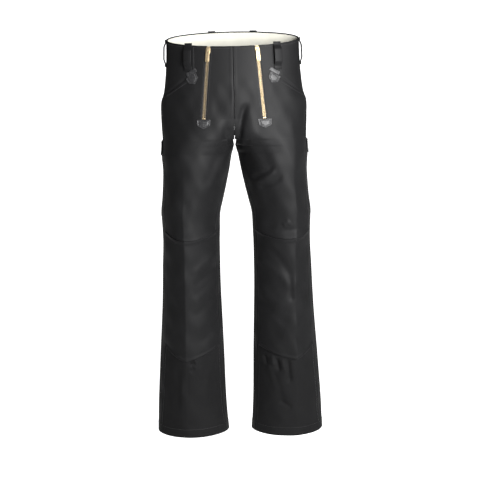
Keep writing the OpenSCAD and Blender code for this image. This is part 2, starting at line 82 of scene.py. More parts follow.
LENGTH = -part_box("front_panel_left")[0].z
INSEAM = 0.849
CALF, KNEE = 0.25, 0.474
WAIST_WIDTH, WAIST_DEPTH = 0.375, 0.16
FORK_HEIGHT = 0.16
FORK_ROUNDING = 0.018
FRONT_DROP = 0.023
TILT = FRONT_DROP / (WAIST_DEPTH / 2)
ZIP_FOOT = LENGTH - 0.223
FOLD = ZIP_FOOT + 0.028
SLASH_TOP = LENGTH - 0.095
SLASH_FOOT = LENGTH - 0.163
SLASH_X = 0.118
ZIP_TOP_X, ZIP_FOOT_X = 0.067, 0.085
HALF_SLIT = 0.0075
KNEE_TOP, KNEE_FOOT = 0.606, 0.263
KNEE_TOP_DIP, KNEE_FOOT_DIP = 0.025, 0.038
RULER_TOP, RULER_HEIGHT = 0.865, 0.22
RULER_TURNS = (2.0, 78.0)
SEAT_POCKET_FOOT = LENGTH - 0.243
SEAT_POCKET_HEIGHT, SEAT_POCKET_POINT = 0.13, 0.014
SEAT_POCKET_TURNS = (38.0, 80.0)
HEM_HEIGHT = 0.026
CLOTH = 0.0012
LINING = 0.0006
LAYER_GAP = 0.0005

LEG_WIDTHS = [(0, 0.212), (CALF, 0.189), (KNEE, 0.17), (0.62, 0.169), (0.77, 0.1885), (INSEAM, 0.206)]
LEG_GAPS = [(0, 0.068), (0.1, 0.08), (CALF, 0.086), (KNEE, 0.098), (0.619, 0.0941), (0.659, 0.0882),
            (0.699, 0.0686), (0.769, 0.0372), (0.825, 0.0176), (INSEAM, 0)]
BODY_WIDTHS = [(INSEAM, 0.206), (0.94, 0.208), (0.975, 0.2065), (1.0, 0.1985), (1.05, 0.192),
               (1.103, 0.1885), (1.148, 0.1875)]
FRONT_DEPTHS = [(0, 0.086), (CALF, 0.08), (KNEE, 0.082), (0.65, 0.094), (0.78, 0.105),
                (INSEAM, 0.1055), (0.925, 0.098)]
BACK_DEPTHS = [(0, 0.086), (CALF, 0.08), (KNEE, 0.075), (0.65, 0.09), (0.78, 0.103), (INSEAM, 0.116),
               (0.9, 0.127), (0.945, 0.131), (1.0, 0.127), (1.06, 0.108), (1.11, 0.092), (1.148, 0.08)]


def mix(a, b, s):
    return a + (b - a) * s


def ease(s):
    s = np.clip(s, 0, 1)
    return s * s * (3 - 2 * s)


def curve(points, at):
    """A smooth curve through points (place, value), read at many places."""
    x, y = np.array(points, float).T
    low, high = np.maximum(np.arange(len(x)) - 1, 0), np.minimum(np.arange(len(x)) + 1, len(x) - 1)
    slope = (y[high] - y[low]) / (x[high] - x[low])
    at = np.clip(at, x[0], x[-1])
    i = np.clip(np.searchsorted(x, at, side="right") - 1, 0, len(x) - 2)
    d = x[i + 1] - x[i]
    s = (at - x[i]) / d
    return mix(y[i], y[i + 1], ease(s)) + d * s * (1 - s) * ((1 - s) * slope[i] - s * slope[i + 1])


def apart(h):
    return np.maximum(0, 1 - (h - INSEAM) / FORK_HEIGHT) ** 2


def half_width(h):
    return np.where(h < INSEAM, curve(LEG_WIDTHS, h) / 2, curve(BODY_WIDTHS, h) / (1 + apart(h)))


def middle(h):
    low = curve(LEG_GAPS, h) / 2 + curve(LEG_WIDTHS, h) / 2
    return np.where(h < INSEAM, low, half_width(h) * apart(h))


def last_angle(h):
    return np.where(h <= INSEAM, 180.0, np.degrees(np.arccos(-np.clip(apart(h), 0, 1))))


ZIP_TOP_Y = -WAIST_DEPTH / 2 * math.sqrt(1 - (ZIP_TOP_X / (WAIST_WIDTH / 2)) ** 2)
ZIP_TOP = LENGTH + TILT * ZIP_TOP_Y
ZIP_FOOT_ACROSS = float((ZIP_FOOT_X - middle(ZIP_FOOT)) / half_width(ZIP_FOOT))
ZIP_FOOT_Y = -FRONT_DEPTHS[-1][1] * math.sqrt(1 - ZIP_FOOT_ACROSS ** 2)


def zip_x(h):
    return mix(ZIP_FOOT_X, ZIP_TOP_X, (h - ZIP_FOOT) / (ZIP_TOP - ZIP_FOOT))


def front_depth(h):
    on_zip = -mix(ZIP_FOOT_Y, ZIP_TOP_Y, (h - ZIP_FOOT) / (ZIP_TOP - ZIP_FOOT))
    across = np.clip((zip_x(h) - middle(h)) / half_width(h), -0.99, 0.99)
    return np.where(h <= ZIP_FOOT, curve(FRONT_DEPTHS, h), on_zip / np.sqrt(1 - across ** 2))


def angle_at(x, h):
    return np.degrees(np.arccos(np.clip((x - middle(h)) / half_width(h), -1, 1)))


def edge_height(angle):
    return LENGTH + np.sign(angle) * TILT * WAIST_DEPTH / 2 * np.sin(np.radians(np.abs(angle)))


def level_height(level, angle):
    """A level is a height that tilts with the waist's edge above the fold."""
    up = (level - FOLD) / (LENGTH - FOLD)
    return np.where(level <= FOLD, level, mix(FOLD, edge_height(angle), up))


def zip_angle(level, away):
    h = level_height(level, -75.0)
    return angle_at(zip_x(h) + away, h)


def slash_angle(level):
    top = angle_at(SLASH_X, SLASH_TOP)
    up = np.clip((level - SLASH_FOOT) / (SLASH_TOP - SLASH_FOOT), 0, 1)
    return np.where(level >= SLASH_TOP, angle_at(SLASH_X, level), top * up ** 0.58)


def side_shift(h):
    """Angle by which the side seam lies on the front of the leg."""
    return curve([(0, 23), (0.3, 20), (0.5, 18), (0.7, 14), (0.86, 10), (0.96, 0)], h)


def inside_shift(h):
    """Angle by which the inside seam lies on the front of the leg."""
    return curve([(0, 22), (0.3, 19), (0.5, 18), (0.7, 12), (0.8, 5), (INSEAM, 0)], h)


BACK_CREASE = 92.0


def crease_angle(side, h):
    if side == LEFT:
        return curve([(0, 77), (0.25, 72), (0.474, 68), (0.7, 58), (0.85, 50), (0.96, 42)], h)
    return curve([(0, 82), (0.25, 80), (0.474, 79), (0.7, 74), (0.85, 60), (0.96, 45)], h)


def crease_share(side, h):
    """How much of the section is drawn straight to the pressed crease."""
    if side == LEFT:
        return curve([(0, 0.14), (0.12, 0.34), (0.24, 0.42), (0.474, 0.45), (0.6, 0.42), (0.75, 0.3),
                      (0.9, 0.14), (0.975, 0)], h)
    return curve([(0, 0.1), (0.12, 0.34), (0.24, 0.42), (0.474, 0.48), (0.6, 0.42), (0.7, 0.25),
                  (0.8, 0.08), (0.9, 0)], h)


# Folds of the front, from (x, height) to (x, height) in millimetres: width, depth, bow
FOLDS = {
    LEFT: [
        (34, 966, 12, 868, 10, -10, -4), (62, 940, 34, 852, 20, 4, 0),
        (46, 757, 108, 793, 6.5, -6, -4), (60, 745, 112, 778, 7, 4.5, -4), (66, 731, 130, 760, 7, -5, -4),
        (72, 845, 98, 792, 14, -3, 0), (40, 820, 30, 720, 12, -2, 0), (88, 700, 100, 610, 18, -3, 0),
        (132, 622, 152, 632, 8, 4, 0), (112, 604, 175, 612, 8, -2.5, 0),
        (62, 520, 150, 440, 13, 4, 8), (86, 560, 158, 458, 12, -4.5, 8), (150, 470, 156, 400, 8, -4, 0),
        (62, 400, 140, 330, 12, -3, 0), (64, 440, 130, 380, 12, 2.5, 0), (150, 360, 172, 320, 16, 1.5, 0),
        (74, 236, 82, 205, 6, -6, 0), (96, 236, 102, 206, 6, 4, 0), (108, 228, 116, 192, 6, -6, 0),
        (124, 226, 128, 196, 6, 4, 0), (142, 226, 147, 160, 7, -7, 0), (82, 210, 112, 130, 10, 3, 0),
        (100, 190, 124, 110, 10, -3, 0), (118, 104, 150, 84, 7, -4, 0), (90, 80, 130, 40, 14, 3, 0),
    ],
    RIGHT: [
        (22, 915, 34, 815, 9, -4, 0), (36, 842, 84, 740, 13, -3.5, 0), (16, 900, 22, 860, 8, -3, 0),
        (84, 716, 56, 640, 16, -2.5, 0), (140, 700, 150, 610, 16, -3, 0),
        (60, 540, 128, 484, 12, 2.6, 0), (54, 505, 124, 450, 11, -2.6, 0), (60, 455, 130, 400, 12, 2.2, 0),
        (58, 420, 124, 360, 12, -2.2, 0), (60, 372, 120, 320, 14, 2, 0), (56, 330, 110, 280, 12, -1.8, 0),
        (128, 224, 142, 218, 5, -7, 0), (130, 208, 141, 198, 5, -5, 0), (150, 218, 158, 120, 11, -3.5, 0),
        (172, 214, 186, 90, 13, -3.5, 0), (166, 200, 170, 60, 10, 2.5, 0), (100, 200, 96, 90, 14, 2, 0),
        (78, 190, 74, 60, 12, -2, 0), (112, 212, 118, 150, 9, 2.5, 0),
    ],
}
# Long soft waves: wave vector (per metre, across and up), phase
WAVES = ((9, 5, 0.4), (-6, 8, 1.9), (14, -9, 4.1), (4, 15, 2.7), (20, 11, 5.2))


def drape(side, angle, x, h, strength):
    """How far the cloth stands off its plain shape."""
    seam = ease(np.sin(np.radians(np.abs(angle))) / 0.3)
    hem = ease((h + 0.02) / 0.05)
    out = np.zeros_like(x)
    front = angle < 0
    for x0, h0, x1, h1, width, depth, bow in FOLDS[side]:
        a, b = np.array([x0, h0]) * MM, np.array([x1, h1]) * MM
        run = np.linalg.norm(b - a)
        d = (b - a) / run
        along = ((x - a[0]) * d[0] + (h - a[1]) * d[1]) / run
        off = (x - a[0]) * -d[1] + (h - a[1]) * d[0] - bow * MM * 4 * along * (1 - along)
        ends = ease(along / 0.3 + 0.35) * ease((1 - along) / 0.3 + 0.35)
        out += depth * MM * np.exp(-((off / (width * MM)) ** 2)) * ends
    out = np.where(front, out, 0)
    for across, up, phase in WAVES:
        out += 0.0006 * np.sin(2 * math.pi * (across * x * side + up * h) + phase + 2 * front)
    near_zip = np.exp(-(((x - zip_x(h)) / 0.026) ** 4)) * ease((h - ZIP_FOOT + 0.055) / 0.03)
    below_waist = 1 - ease((h - 1.0) / 0.06)
    return out * seam * hem * strength * np.where(front, 1 - near_zip, 1) * below_waist


def skin(side, angle, h, out=0.0):
    """Points of the cloth's outer face, rounded over where the legs part."""
    points = sharp_skin(side, angle, h, out)
    near = np.abs(np.asarray(h, float) - INSEAM) < FORK_ROUNDING
    if near.any():
        above = sharp_skin(side, angle, h + FORK_ROUNDING, out)
        below = sharp_skin(side, angle, h - FORK_ROUNDING, out)
        points = points + np.where(near, 0.25, 0.0)[..., None] * (above + below - 2 * points)
    return points


def sharp_skin(side, angle, h, out):
    """The same points before the rounding; out is how far they stand off the cloth's face."""
    props = bpy.context.scene.trouser_sizes
    angle, h, out = np.broadcast_arrays(*(np.asarray(values, float) for values in (angle, h, out)))
    t, back = np.radians(np.abs(angle)), angle > 0
    a, mid = half_width(h), middle(h)
    depth = np.where(back, curve(BACK_DEPTHS, h), front_depth(h))
    x, y = mid + a * np.cos(t), depth * np.sin(t)
    # the pressed crease: the section is drawn towards straight lines that meet at the crease
    last = np.radians(last_angle(h))
    ridge = np.radians(np.where(back, BACK_CREASE, crease_angle(side, h)))
    ridge = np.minimum(ridge, last * 0.8)
    share = crease_share(side, h) * np.where(back, 0.7, 1) * props.crease
    rx, ry = mid + a * np.cos(ridge), depth * np.sin(ridge) * 1.06
    s = np.clip(t / ridge, 0, 1)
    r = np.clip((t - ridge) / (last - ridge), 0, 1)
    end_x, end_y = mid + a * np.cos(last), depth * np.sin(last)
    line_x = np.where(t < ridge, mix(mid + a, rx, s ** 0.75), mix(rx, end_x, r ** 1.25))
    line_y = np.where(t < ridge, mix(0, ry, s ** 0.75), mix(ry, end_y, r ** 1.25))
    x, y = mix(x, line_x, share), mix(y, line_y, share)
    nx, ny = depth * np.cos(t), a * np.sin(t)
    size = np.hypot(nx, ny)
    lift = out + drape(side, angle, x, h, props.folds)
    x, y = x + lift * nx / size, y + lift * ny / size
    return np.stack([side * np.maximum(x, 0), np.where(back, y, -y), h - LENGTH], -1)


def outward(side, angle, h):
    t = np.radians(abs(angle))
    depth = float(curve(BACK_DEPTHS, h)) if angle > 0 else float(front_depth(h))
    n = Vector((side * depth * math.cos(t), math.copysign(1, angle) * float(half_width(h)) * math.sin(t), 0))
    return n.normalized()


def degree_length(angle, h):
    """Length of one degree along the section."""
    t = math.radians(abs(angle))
    depth = float(curve(BACK_DEPTHS, h)) if angle > 0 else float(front_depth(h))
    return math.hypot(float(half_width(h)) * math.sin(t), depth * math.cos(t)) * math.pi / 180


# ---- meshes ----


def new_object(name, points, faces, uv=None):
    mesh = bpy.data.meshes.new(name)
    mesh.from_pydata([tuple(p) for p in np.asarray(points)], [], [tuple(int(i) for i in f) for f in faces])
    if uv is not None:
        layer = mesh.uv_layers.new(name="cut")
        index = np.zeros(len(mesh.loops), np.int32)
        mesh.loops.foreach_get("vertex_index", index)
        layer.data.foreach_set("uv", np.asarray(uv, np.float32)[index].ravel())
    made = bpy.data.objects.new(name, mesh)
    bpy.context.scene.collection.objects.link(made)
    return made


def sheet_faces(shape, keep, offset):
    """Faces of a closed sheet on two grids of points, the outer first."""
    rows, cols = shape
    ids = np.arange(rows * cols).reshape(rows, cols)
    a, b, c, d = ids[:-1, :-1], ids[:-1, 1:], ids[1:, 1:], ids[1:, :-1]
    quads = [np.stack([a, b, c, d], -1)[keep], np.stack([d, c, b, a], -1)[keep] + offset]
    pad = np.pad(keep, 1)
    rims = ((a, b, pad[:-2, 1:-1]), (b, c, pad[1:-1, 2:]), (c, d, pad[2:, 1:-1]), (d, a, pad[1:-1, :-2]))
    for p, q, beside in rims:
        rim = keep & ~beside
        quads.append(np.stack([q, p, p + offset, q + offset], -1)[rim])
    return np.concatenate(quads)


def closed_sheet(name, outer, inner, keep=None):
    """A closed sheet of cloth between two grids of points, with a map of its own surface in metres."""
    rows, cols = outer.shape[:2]
    if keep is None:
        keep = np.ones((rows - 1, cols - 1), bool)
    faces = sheet_faces((rows, cols), keep, rows * cols)
    across = np.zeros((rows, cols))
    across[:, 1:] = np.cumsum(np.linalg.norm(np.diff(outer, axis=1), axis=-1), axis=1)
    across -= across[:, cols // 2][:, None]
    middle_line = np.linalg.norm(np.diff(outer[:, cols // 2], axis=0), axis=-1)
    up = np.repeat(np.concatenate([[0], np.cumsum(middle_line)])[:, None], cols, 1)
    uv = np.stack([across, up], -1).reshape(-1, 2)
    points = np.concatenate([outer.reshape(-1, 3), inner.reshape(-1, 3)])
    uv = np.concatenate([uv, uv])
    i = tuple(k // 2 for k in keep.shape)
    if not keep[i]:
        i = tuple(np.argwhere(keep)[0])
    corner = outer[i]
    normal = np.cross(outer[i[0], i[1] + 1] - corner, outer[i[0] + 1, i[1] + 1] - corner)
    if np.dot(normal, corner - inner[i]) < 0:
        faces = faces[:, ::-1]
    used = np.unique(faces)
    to = np.zeros(len(points), int)
    to[used] = np.arange(len(used))
    return new_object(name, points[used], to[faces], uv[used])


def select_only(*objects):
    bpy.ops.object.select_all(action="DESELECT")
    for o in objects:
        o.select_set(True)
    bpy.context.view_layer.objects.active = objects[0]


def soften(o, angle=35):
    select_only(o)
    bpy.ops.object.shade_smooth_by_angle(angle=math.radians(angle))


def dress(o, body, finish, slot, *nodes, smooth=35):
    """Smooths a piece and gives it its finish; it hangs from a named body's empty, or else keeps its place in
    its own mesh, and the frame's nodes that it stands for are hidden.
    """
    soften(o, smooth)
    o.data.materials.clear()
    o.data.materials.append(finish)
    if isinstance(body, str):
        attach(o, body)
    else:
        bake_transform(o)
    if nodes:
        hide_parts(*nodes)
    return o


def declare(o, outer, held, keep=None, **words):
    """Works out the sizes of a sheet's cells laid flat, but keeps none of them."""
    corner = outer[:-1, :-1]
    cells = np.linalg.norm(np.cross(outer[:-1, 1:] - corner, outer[1:, :-1] - corner), axis=-1)
    wide = np.linalg.norm(np.diff(outer, axis=1), axis=-1)
    tall = np.linalg.norm(np.diff(outer, axis=0), axis=-1)
    if keep is not None:
        cells = cells * keep
        wide, tall = wide[:-1] * keep, tall[:, :-1] * keep


CLOTH_BEND, ZIP_BEND = 0.012, 0.004


def fold_blend(half=CLOTH_BEND):
    """Trousers below the fold, flap above it, and a bend between them that reaches half each way."""
    y = -float(front_depth(FOLD))
    z = FOLD - LENGTH
    return ("trousers", "flap", (0, y, z - half), (0, y, z + half))


# ---- finishes ----


class Value:
    """A node's socket, so that shader maths reads as an expression."""

    def __init__(self, finish, socket):
        self.finish, self.socket = finish, socket

    def maths(self, operation, first, second):
        return self.finish.node("ShaderNodeMath", {"operation": operation}, {0: first, 1: second})

    def __add__(self, other):
        return self.maths("ADD", self, other)

    def __sub__(self, other):
        return self.maths("SUBTRACT", self, other)

    def __rsub__(self, other):
        return self.maths("SUBTRACT", other, self)

    def __mul__(self, other):
        return self.maths("MULTIPLY", self, other)

    __radd__, __rmul__ = __add__, __mul__


class Finish:
    """A material and the nodes that it is made of."""

    def __init__(self, name, **shader):
        self.material = bpy.data.materials.new(name)
        self.material.use_nodes = True
        self.tree = self.material.node_tree
        self.tree.nodes.clear()
        self.shader = self.tree.nodes.new("ShaderNodeBsdfPrincipled")
        out = self.tree.nodes.new("ShaderNodeOutputMaterial")
        self.tree.links.new(self.shader.outputs[0], out.inputs[0])
        for key, value in shader.items():
            self.shader.inputs[key.replace("_", " ").title().replace("Ior", "IOR")].default_value = value

    def node(self, kind, settings=None, inputs=None, output=0):
        made = self.tree.nodes.new(kind)
        for key, value in (settings or {}).items():
            if key == "stops":
                for stop, (place, colour) in zip(made.color_ramp.elements, value):
                    stop.position, stop.color = place, colour
            else:
                setattr(made, key, value)
        for key, value in (inputs or {}).items():
            self.feed(made.inputs[key], value)
        return Value(self, made.outputs[output])

    def feed(self, socket, value):
        if isinstance(value, Value):
            self.tree.links.new(value.socket, socket)
        else:
            socket.default_value = value

    def set(self, name, value):
        self.feed(self.shader.inputs[name], value)

    def place(self, kind="Object"):
        return self.node("ShaderNodeTexCoord", output=kind)

    def coordinate(self, axis):
        return self.node("ShaderNodeSeparateXYZ", None, {0: self.place()}, output=axis)

    def scaled(self, place, scale, turn=0.0):
        return self.node("ShaderNodeMapping", None,
                         {"Vector": place, "Scale": scale, "Rotation": (0, 0, math.radians(turn))})

    def noise(self, place, scale, detail=2.0, rough=0.5):
        return self.node("ShaderNodeTexNoise", None,
                         {"Vector": place, "Scale": scale, "Detail": detail, "Roughness": rough})

    def spread(self, value, low, high, to_low, to_high):
        return self.node("ShaderNodeMapRange", None, {0: value, 1: low, 2: high, 3: to_low, 4: to_high})

    def blend_colours(self, share, first, second):
        return self.node("ShaderNodeMix", {"data_type": "RGBA"}, {0: share, 6: first, 7: second}, output=2)

    def bump(self, height, strength, distance):
        inputs = {"Height": height, "Strength": strength, "Distance": distance}
        self.set("Normal", self.node("ShaderNodeBump", None, inputs))


def rgba(colour, factor=1.0):
    return tuple(c * factor for c in colour) + (1.0,)


def cloth_finish(name, colour, gloss=0.57, sheen=0.0, depth=1.0):
    """Dense satin-backed cotton: a slanted weave with slubs and a soft nap; painted shade darkens it low
    down, below the knee panels, where it is also matter.
    """
    f = Finish(name, specular_ior_level=0.16, sheen_weight=sheen, sheen_roughness=0.45)
    f.shader.inputs["Sheen Tint"].default_value = (0.9, 0.92, 1.0, 1.0)
    cut = f.place("UV")
    threads = f.noise(f.scaled(cut, (2600, 420, 1), 28), 1.0, 2.0)
    cross = f.noise(f.scaled(cut, (500, 2200, 1), 0), 1.0, 1.0)
    nap = f.noise(f.place(), 9.0, 4.0, 0.6)
    slub = f.noise(f.scaled(cut, (300, 40, 1)), 1.0, 3.0)
    weave = threads * 0.6 + cross * 0.4
    tone = f.spread(nap, 0.3, 0.7, 0.0, 0.75) + f.spread(slub, 0.35, 0.75, 0.0, 0.25)
    # painted shade: below the knee panels the cloth's colour is drawn darker, and the same mask makes it
    # rougher
    low = f.spread(f.coordinate("Z"), KNEE_FOOT - LENGTH - 0.05, KNEE_FOOT - LENGTH, 1, 0)
    f.set("Base Color", f.blend_colours(tone - low * 0.6, rgba(colour, 0.82), rgba(colour, 1.25)))
    f.set("Roughness", f.spread(nap + weave * 0.5, 0.4, 1.1, gloss - 0.04, gloss + 0.1) + low * 0.16)
    f.bump(weave, 0.22 * depth, 0.0004)
    return f.material


def twill_finish(name, colour):
    """Cream cotton twill."""
    f = Finish(name, specular_ior_level=0.2, sheen_weight=0.2)
    cut = f.place("UV")
    rib = f.node("ShaderNodeTexWave", {"bands_direction": "DIAGONAL"},
                 {"Vector": cut, "Scale": 260.0, "Distortion": 1.2, "Detail": 2.0})
    patchy = f.noise(f.place(), 25.0, 3.0)
    patchy = f.spread(patchy, 0.3, 0.7, 0, 1)
    f.set("Base Color", f.blend_colours(patchy, rgba(colour, 0.93), rgba(colour, 1.05)))
    f.set("Roughness", f.spread(rib, 0, 1, 0.78, 0.9))
    f.bump(rib, 0.25, 0.0004)
    return f.material


def leather_finish(name, colour):
    """Moulded glossy leather with a pebbled grain, greyer where it is rubbed."""
    f = Finish(name, specular_ior_level=0.35, coat_weight=0.08, coat_roughness=0.35)
    place = f.place()
    pebbles = f.node("ShaderNodeTexVoronoi", {"feature": "DISTANCE_TO_EDGE"},
                     {"Vector": place, "Scale": 900.0})
    creases = f.noise(place, 260.0, 4.0)
    grain = f.spread(pebbles, 0, 0.25, 0, 1) * 0.6 + creases * 0.5
    rubbed = f.spread(creases, 0.5, 0.75, 0, 1)
    f.set("Base Color", f.blend_colours(rubbed, rgba(colour), rgba([c + 0.03 for c in colour])))
    f.set("Roughness", f.spread(creases, 0.3, 0.7, 0.38, 0.52))
    f.bump(grain, 0.3, 0.0004)
    return f.material


def brass_finish(name, colour):
    """Polished brass, duller and browner in spots."""
    f = Finish(name, metallic=1.0)
    place = f.place()
    spots = f.noise(place, 420.0, 3.0)
    scuffs = f.noise(f.scaled(place, (900, 900, 160)), 1.0, 2.0)
    dull = f.spread(spots, 0.45, 0.75, 0, 1)
    brown = [c * share for c, share in zip(colour, (0.7, 0.62, 0.5))]
    f.set("Base Color", f.blend_colours(dull, rgba(colour, 1.08), rgba(brown)))
    f.set("Roughness", f.spread(scuffs + dull * 0.5, 0.3, 1.0, 0.44, 0.6))
    f.bump(scuffs, 0.12, 0.0002)
    return f.material


def tape_finish(name, colour):
    """Woven zip tape with a fine rib."""
    f = Finish(name, specular_ior_level=0.3, sheen_weight=0.1)
    cut = f.place("UV")
    rib = f.node("ShaderNodeTexWave", {"bands_direction": "X"},
                 {"Vector": cut, "Scale": 420.0, "Distortion": 0.6})
    fuzz = f.noise(f.place(), 700.0, 2.0)
    f.set("Base Color", f.blend_colours(fuzz, rgba(colour, 0.7), rgba(colour, 1.5)))
    f.set("Roughness", f.spread(fuzz, 0.3, 0.7, 0.6, 0.8))
    f.bump(rib, 0.35, 0.0003)
    return f.material


def thread_finish(name, colour):
    """Sewing thread with its twist."""
    f = Finish(name, specular_ior_level=0.4, sheen_weight=0.1)
    twist = f.node("ShaderNodeTexWave", {"bands_direction": "DIAGONAL"},
                   {"Vector": f.place(), "Scale": 900.0})
    f.set("Base Color", f.blend_colours(twist, rgba(colour, 0.8), rgba(colour, 1.3)))
    f.set("Roughness", f.spread(twist, 0, 1, 0.45, 0.6))
    f.bump(twist, 0.3, 0.0002)
    return f.material


def floor_finish(name, colour):
    """Smooth pale floor with a faint unevenness, which glows behind the trousers."""
    f = Finish(name, specular_ior_level=0.1, emission_strength=1.0)
    patchy = f.noise(f.place(), 1.5, 3.0)
    tone = f.blend_colours(patchy, rgba(colour, 0.985), rgba(colour, 1.0))
    f.set("Base Color", tone)
    depth = f.coordinate("Y")
    aside = f.node("ShaderNodeMath", {"operation": "ABSOLUTE"}, {0: f.coordinate("X")}) - depth * 0.25
    lit = f.spread(aside, 0.8, 2.0, 1, 0) * f.spread(depth, -0.1, 0.5, 0, 1)
    lit = lit * f.spread(f.coordinate("Z"), 0.9, 1.4, 1, 0)
    f.set("Emission Color", f.blend_colours(lit, (0, 0, 0, 1), tone))
    f.set("Roughness", f.spread(patchy, 0.3, 0.7, 0.85, 0.95))
    f.bump(patchy, 0.02, 0.002)
    return f.material


FINISHES = {}


def finish_for(name):
    """Each finish is made once, from the colours of the panel."""
    if name not in FINISHES:
        c = bpy.context.scene.trouser_colours
        make = {
            "cloth": lambda: cloth_finish("trouser_cloth", c.cloth),
            "lining": lambda: twill_finish("cream_twill", c.lining),
            "leather": lambda: leather_finish("moulded_leather", c.leather),
            "brass": lambda: brass_finish("zip_brass", c.brass),
            "zip_tape": lambda: tape_finish("woven_tape", c.tape),
            "thread": lambda: thread_finish("black_thread", c.thread),
            "floor": lambda: floor_finish("pale_floor", c.floor),
        }
        FINISHES[name] = make[name]()
    return FINISHES[name]


# ---- cloth pieces ----

LEG_ROWS, KNEE_SEAM_ROWS = 240, 40
SLIT_CELLS = 4
SIDE_CELLS, MIDDLE_CELLS, INNER_CELLS, BACK_CELLS = 34, 22, 32, 96


def front_levels():
    """Levels of the front's rows, closer together round the knee panel's upper edge."""
    near_knee = np.linspace(KNEE_TOP - 0.0328, KNEE_TOP + 0.0048, KNEE_SEAM_ROWS)
    leg = np.sort(np.concatenate([np.linspace(0, INSEAM, LEG_ROWS), near_knee]))
    fork = fork_levels(ZIP_FOOT, 26)
    return np.concatenate([leg, fork, np.linspace(ZIP_FOOT, LENGTH, 68)[1:]])


def fork_levels(top, rows):
    """Levels above the legs, closest together at the fork."""
    return INSEAM + (top - INSEAM) * (np.arange(1, rows + 1) / rows) ** 1.6


def front_knots(side, level):
    """Angles at the side seam, the crease, both edges of the zip's slit, and the centre or inside seam."""
    h = level_height(level, -75.0)
    edge = np.where(level > SLASH_FOOT, slash_angle(level), side_shift(h))
    end = np.where(h < INSEAM, 180 - inside_shift(h), last_angle(level_height(level, -90.0)))
    slit = [zip_angle(np.maximum(level, ZIP_FOOT), away) for away in (HALF_SLIT, -HALF_SLIT)]
    foot = np.array([ZIP_FOOT])
    foot_end, foot_ridge = last_angle(foot)[0], crease_angle(side, foot)[0]
    ridge = mix(crease_angle(side, h), mix(edge, slit[0], 0.5), ease((level - 0.95) / 0.05))
    foot_slit = [float(s[0]) for s in (zip_angle(foot, HALF_SLIT), zip_angle(foot, -HALF_SLIT))]
    low = level < ZIP_FOOT
    for k in (0, 1):
        share = (foot_slit[k] - foot_ridge) / (foot_end - foot_ridge)
        slit[k] = np.where(low, mix(ridge, end, share), slit[k])
    return [edge, ridge, slit[0], slit[1], end]


def spaced(knots, cells, level):
    """A grid of angles, one row to a level."""
    parts = [knots[0][:, None]]
    for a, b, n in zip(knots[:-1], knots[1:], cells):
        parts.append(mix(a[:, None], b[:, None], (np.arange(1, n + 1) / n)[None, :]))
    angle = np.concatenate(parts, 1)
    return angle, np.repeat(level[:, None], angle.shape[1], 1)


def seam_shape(distance, ridge=0.0007, groove=0.001):
    """Across a seam: a groove at the edge and a low ridge of turned-in cloth beside it."""
    turned_in = ridge * ease(distance / 0.002) * (1 - ease((distance - 0.008) / 0.003))
    return turned_in - groove * (1 - ease(distance / 0.0015))


def hem_lift(level):
    """The hem's double cloth, which ends in a step at its stitching."""
    return 0.0007 * (1 - ease((level - HEM_HEIGHT) / 0.003))


def turned_edge(edge):
    """The turned-in edge of a patch pocket, by the distance from it."""
    return 0.0008 * (1 - ease((edge - 0.006) / 0.002)) - 0.0005 * (1 - ease(edge / 0.001))


def off_zero(angle):
    """An angle of 0 is on neither the front nor the back, so it is moved a hair to the back."""
    return np.where(np.abs(angle) < 1e-6, 1e-6, angle)


def row_distance(points, from_end=False):
    """Distance along each row from its first or its last point."""
    steps = np.linalg.norm(np.diff(points, axis=1), axis=-1)
    if from_end:
        back = np.cumsum(steps[:, ::-1], axis=1)[:, ::-1]
        return np.concatenate([back, np.zeros((len(points), 1))], 1)
    return np.concatenate([np.zeros((len(points), 1)), np.cumsum(steps, axis=1)], 1)


def level_distance(points, from_top=False):
    """Distance up the cloth from the lowest row, or down it from the top one."""
    steps = np.linalg.norm(np.diff(points, axis=0), axis=-1)
    if from_top:
        steps = steps[::-1]
    total = np.concatenate([np.zeros((1, points.shape[1])), np.cumsum(steps, 0)])
    return total[::-1] if from_top else total


def end_seam(distance, h):
    """The inside seam, and above the fork the centre seam, whose edges lap over each other."""
    props = bpy.context.scene.trouser_sizes
    above = np.where(h > INSEAM - 0.004, ease(apart(h) / 0.25), 0)
    ridge = np.where(h > INSEAM, 0.4, 1) * props.seam_ridge
    return seam_shape(distance, ridge, mix(0.001, -0.0006, above))


def knee_span(side, v):
    """Angles of the knee panel's side edge, crease and inside edge, at a share of its height."""
    h = mix(KNEE_FOOT - 0.02, KNEE_TOP - 0.015, v)
    return float(side_shift(h)), float(crease_angle(side, h)), 180 - float(inside_shift(h))


def knee_edges(t, first, ridge, last):
    """Heights of the knee panel's lower and upper edges: both dip, the lower one to a point."""
    peak = 1 - np.abs(t - ridge) / np.where(t < ridge, ridge - first, last - ridge)
    round_dip = np.sin(np.pi * (t - first) / (last - first))
    foot = KNEE_FOOT - KNEE_FOOT_DIP * (0.35 * round_dip + 0.65 * peak)
    top = KNEE_TOP - KNEE_TOP_DIP * (0.85 * round_dip + 0.15 * peak)
    return foot, top


def knee_hang(side, t, h):
    """The cloth above the knee panel, which hangs a little over its upper edge."""
    above = h - knee_edges(t, *knee_span(side, 1))[1]
    inside = ease(np.minimum(t - side_shift(KNEE_TOP), 180 - inside_shift(KNEE_TOP) - t) / 8)
    return 0.0036 * ease((above + 0.0004) / 0.002) * np.exp(-np.maximum(above, 0) / 0.011) * inside


def build_front(side):
    level = front_levels()
    knots = front_knots(side, level)
    t, lev = spaced(knots, (SIDE_CELLS, MIDDLE_CELLS, SLIT_CELLS, INNER_CELLS), level)
    h = level_height(lev, -t)
    flat = skin(side, -t, h)
    at_side, at_end = row_distance(flat), row_distance(flat, True)
    props = bpy.context.scene.trouser_sizes
    lift = seam_shape(at_side, props.seam_ridge) + end_seam(at_end, h)
    lift = lift + hem_lift(lev) + knee_hang(side, t, h)
    outer, inner = skin(side, -t, h, lift), skin(side, -t, h, lift - CLOTH)
    columns = np.arange(t.shape[1] - 1)
    keep = (level[:-1, None] < ZIP_FOOT - 1e-6) | (columns[None, :] < SIDE_CELLS + MIDDLE_CELLS)
    return outer, inner, keep


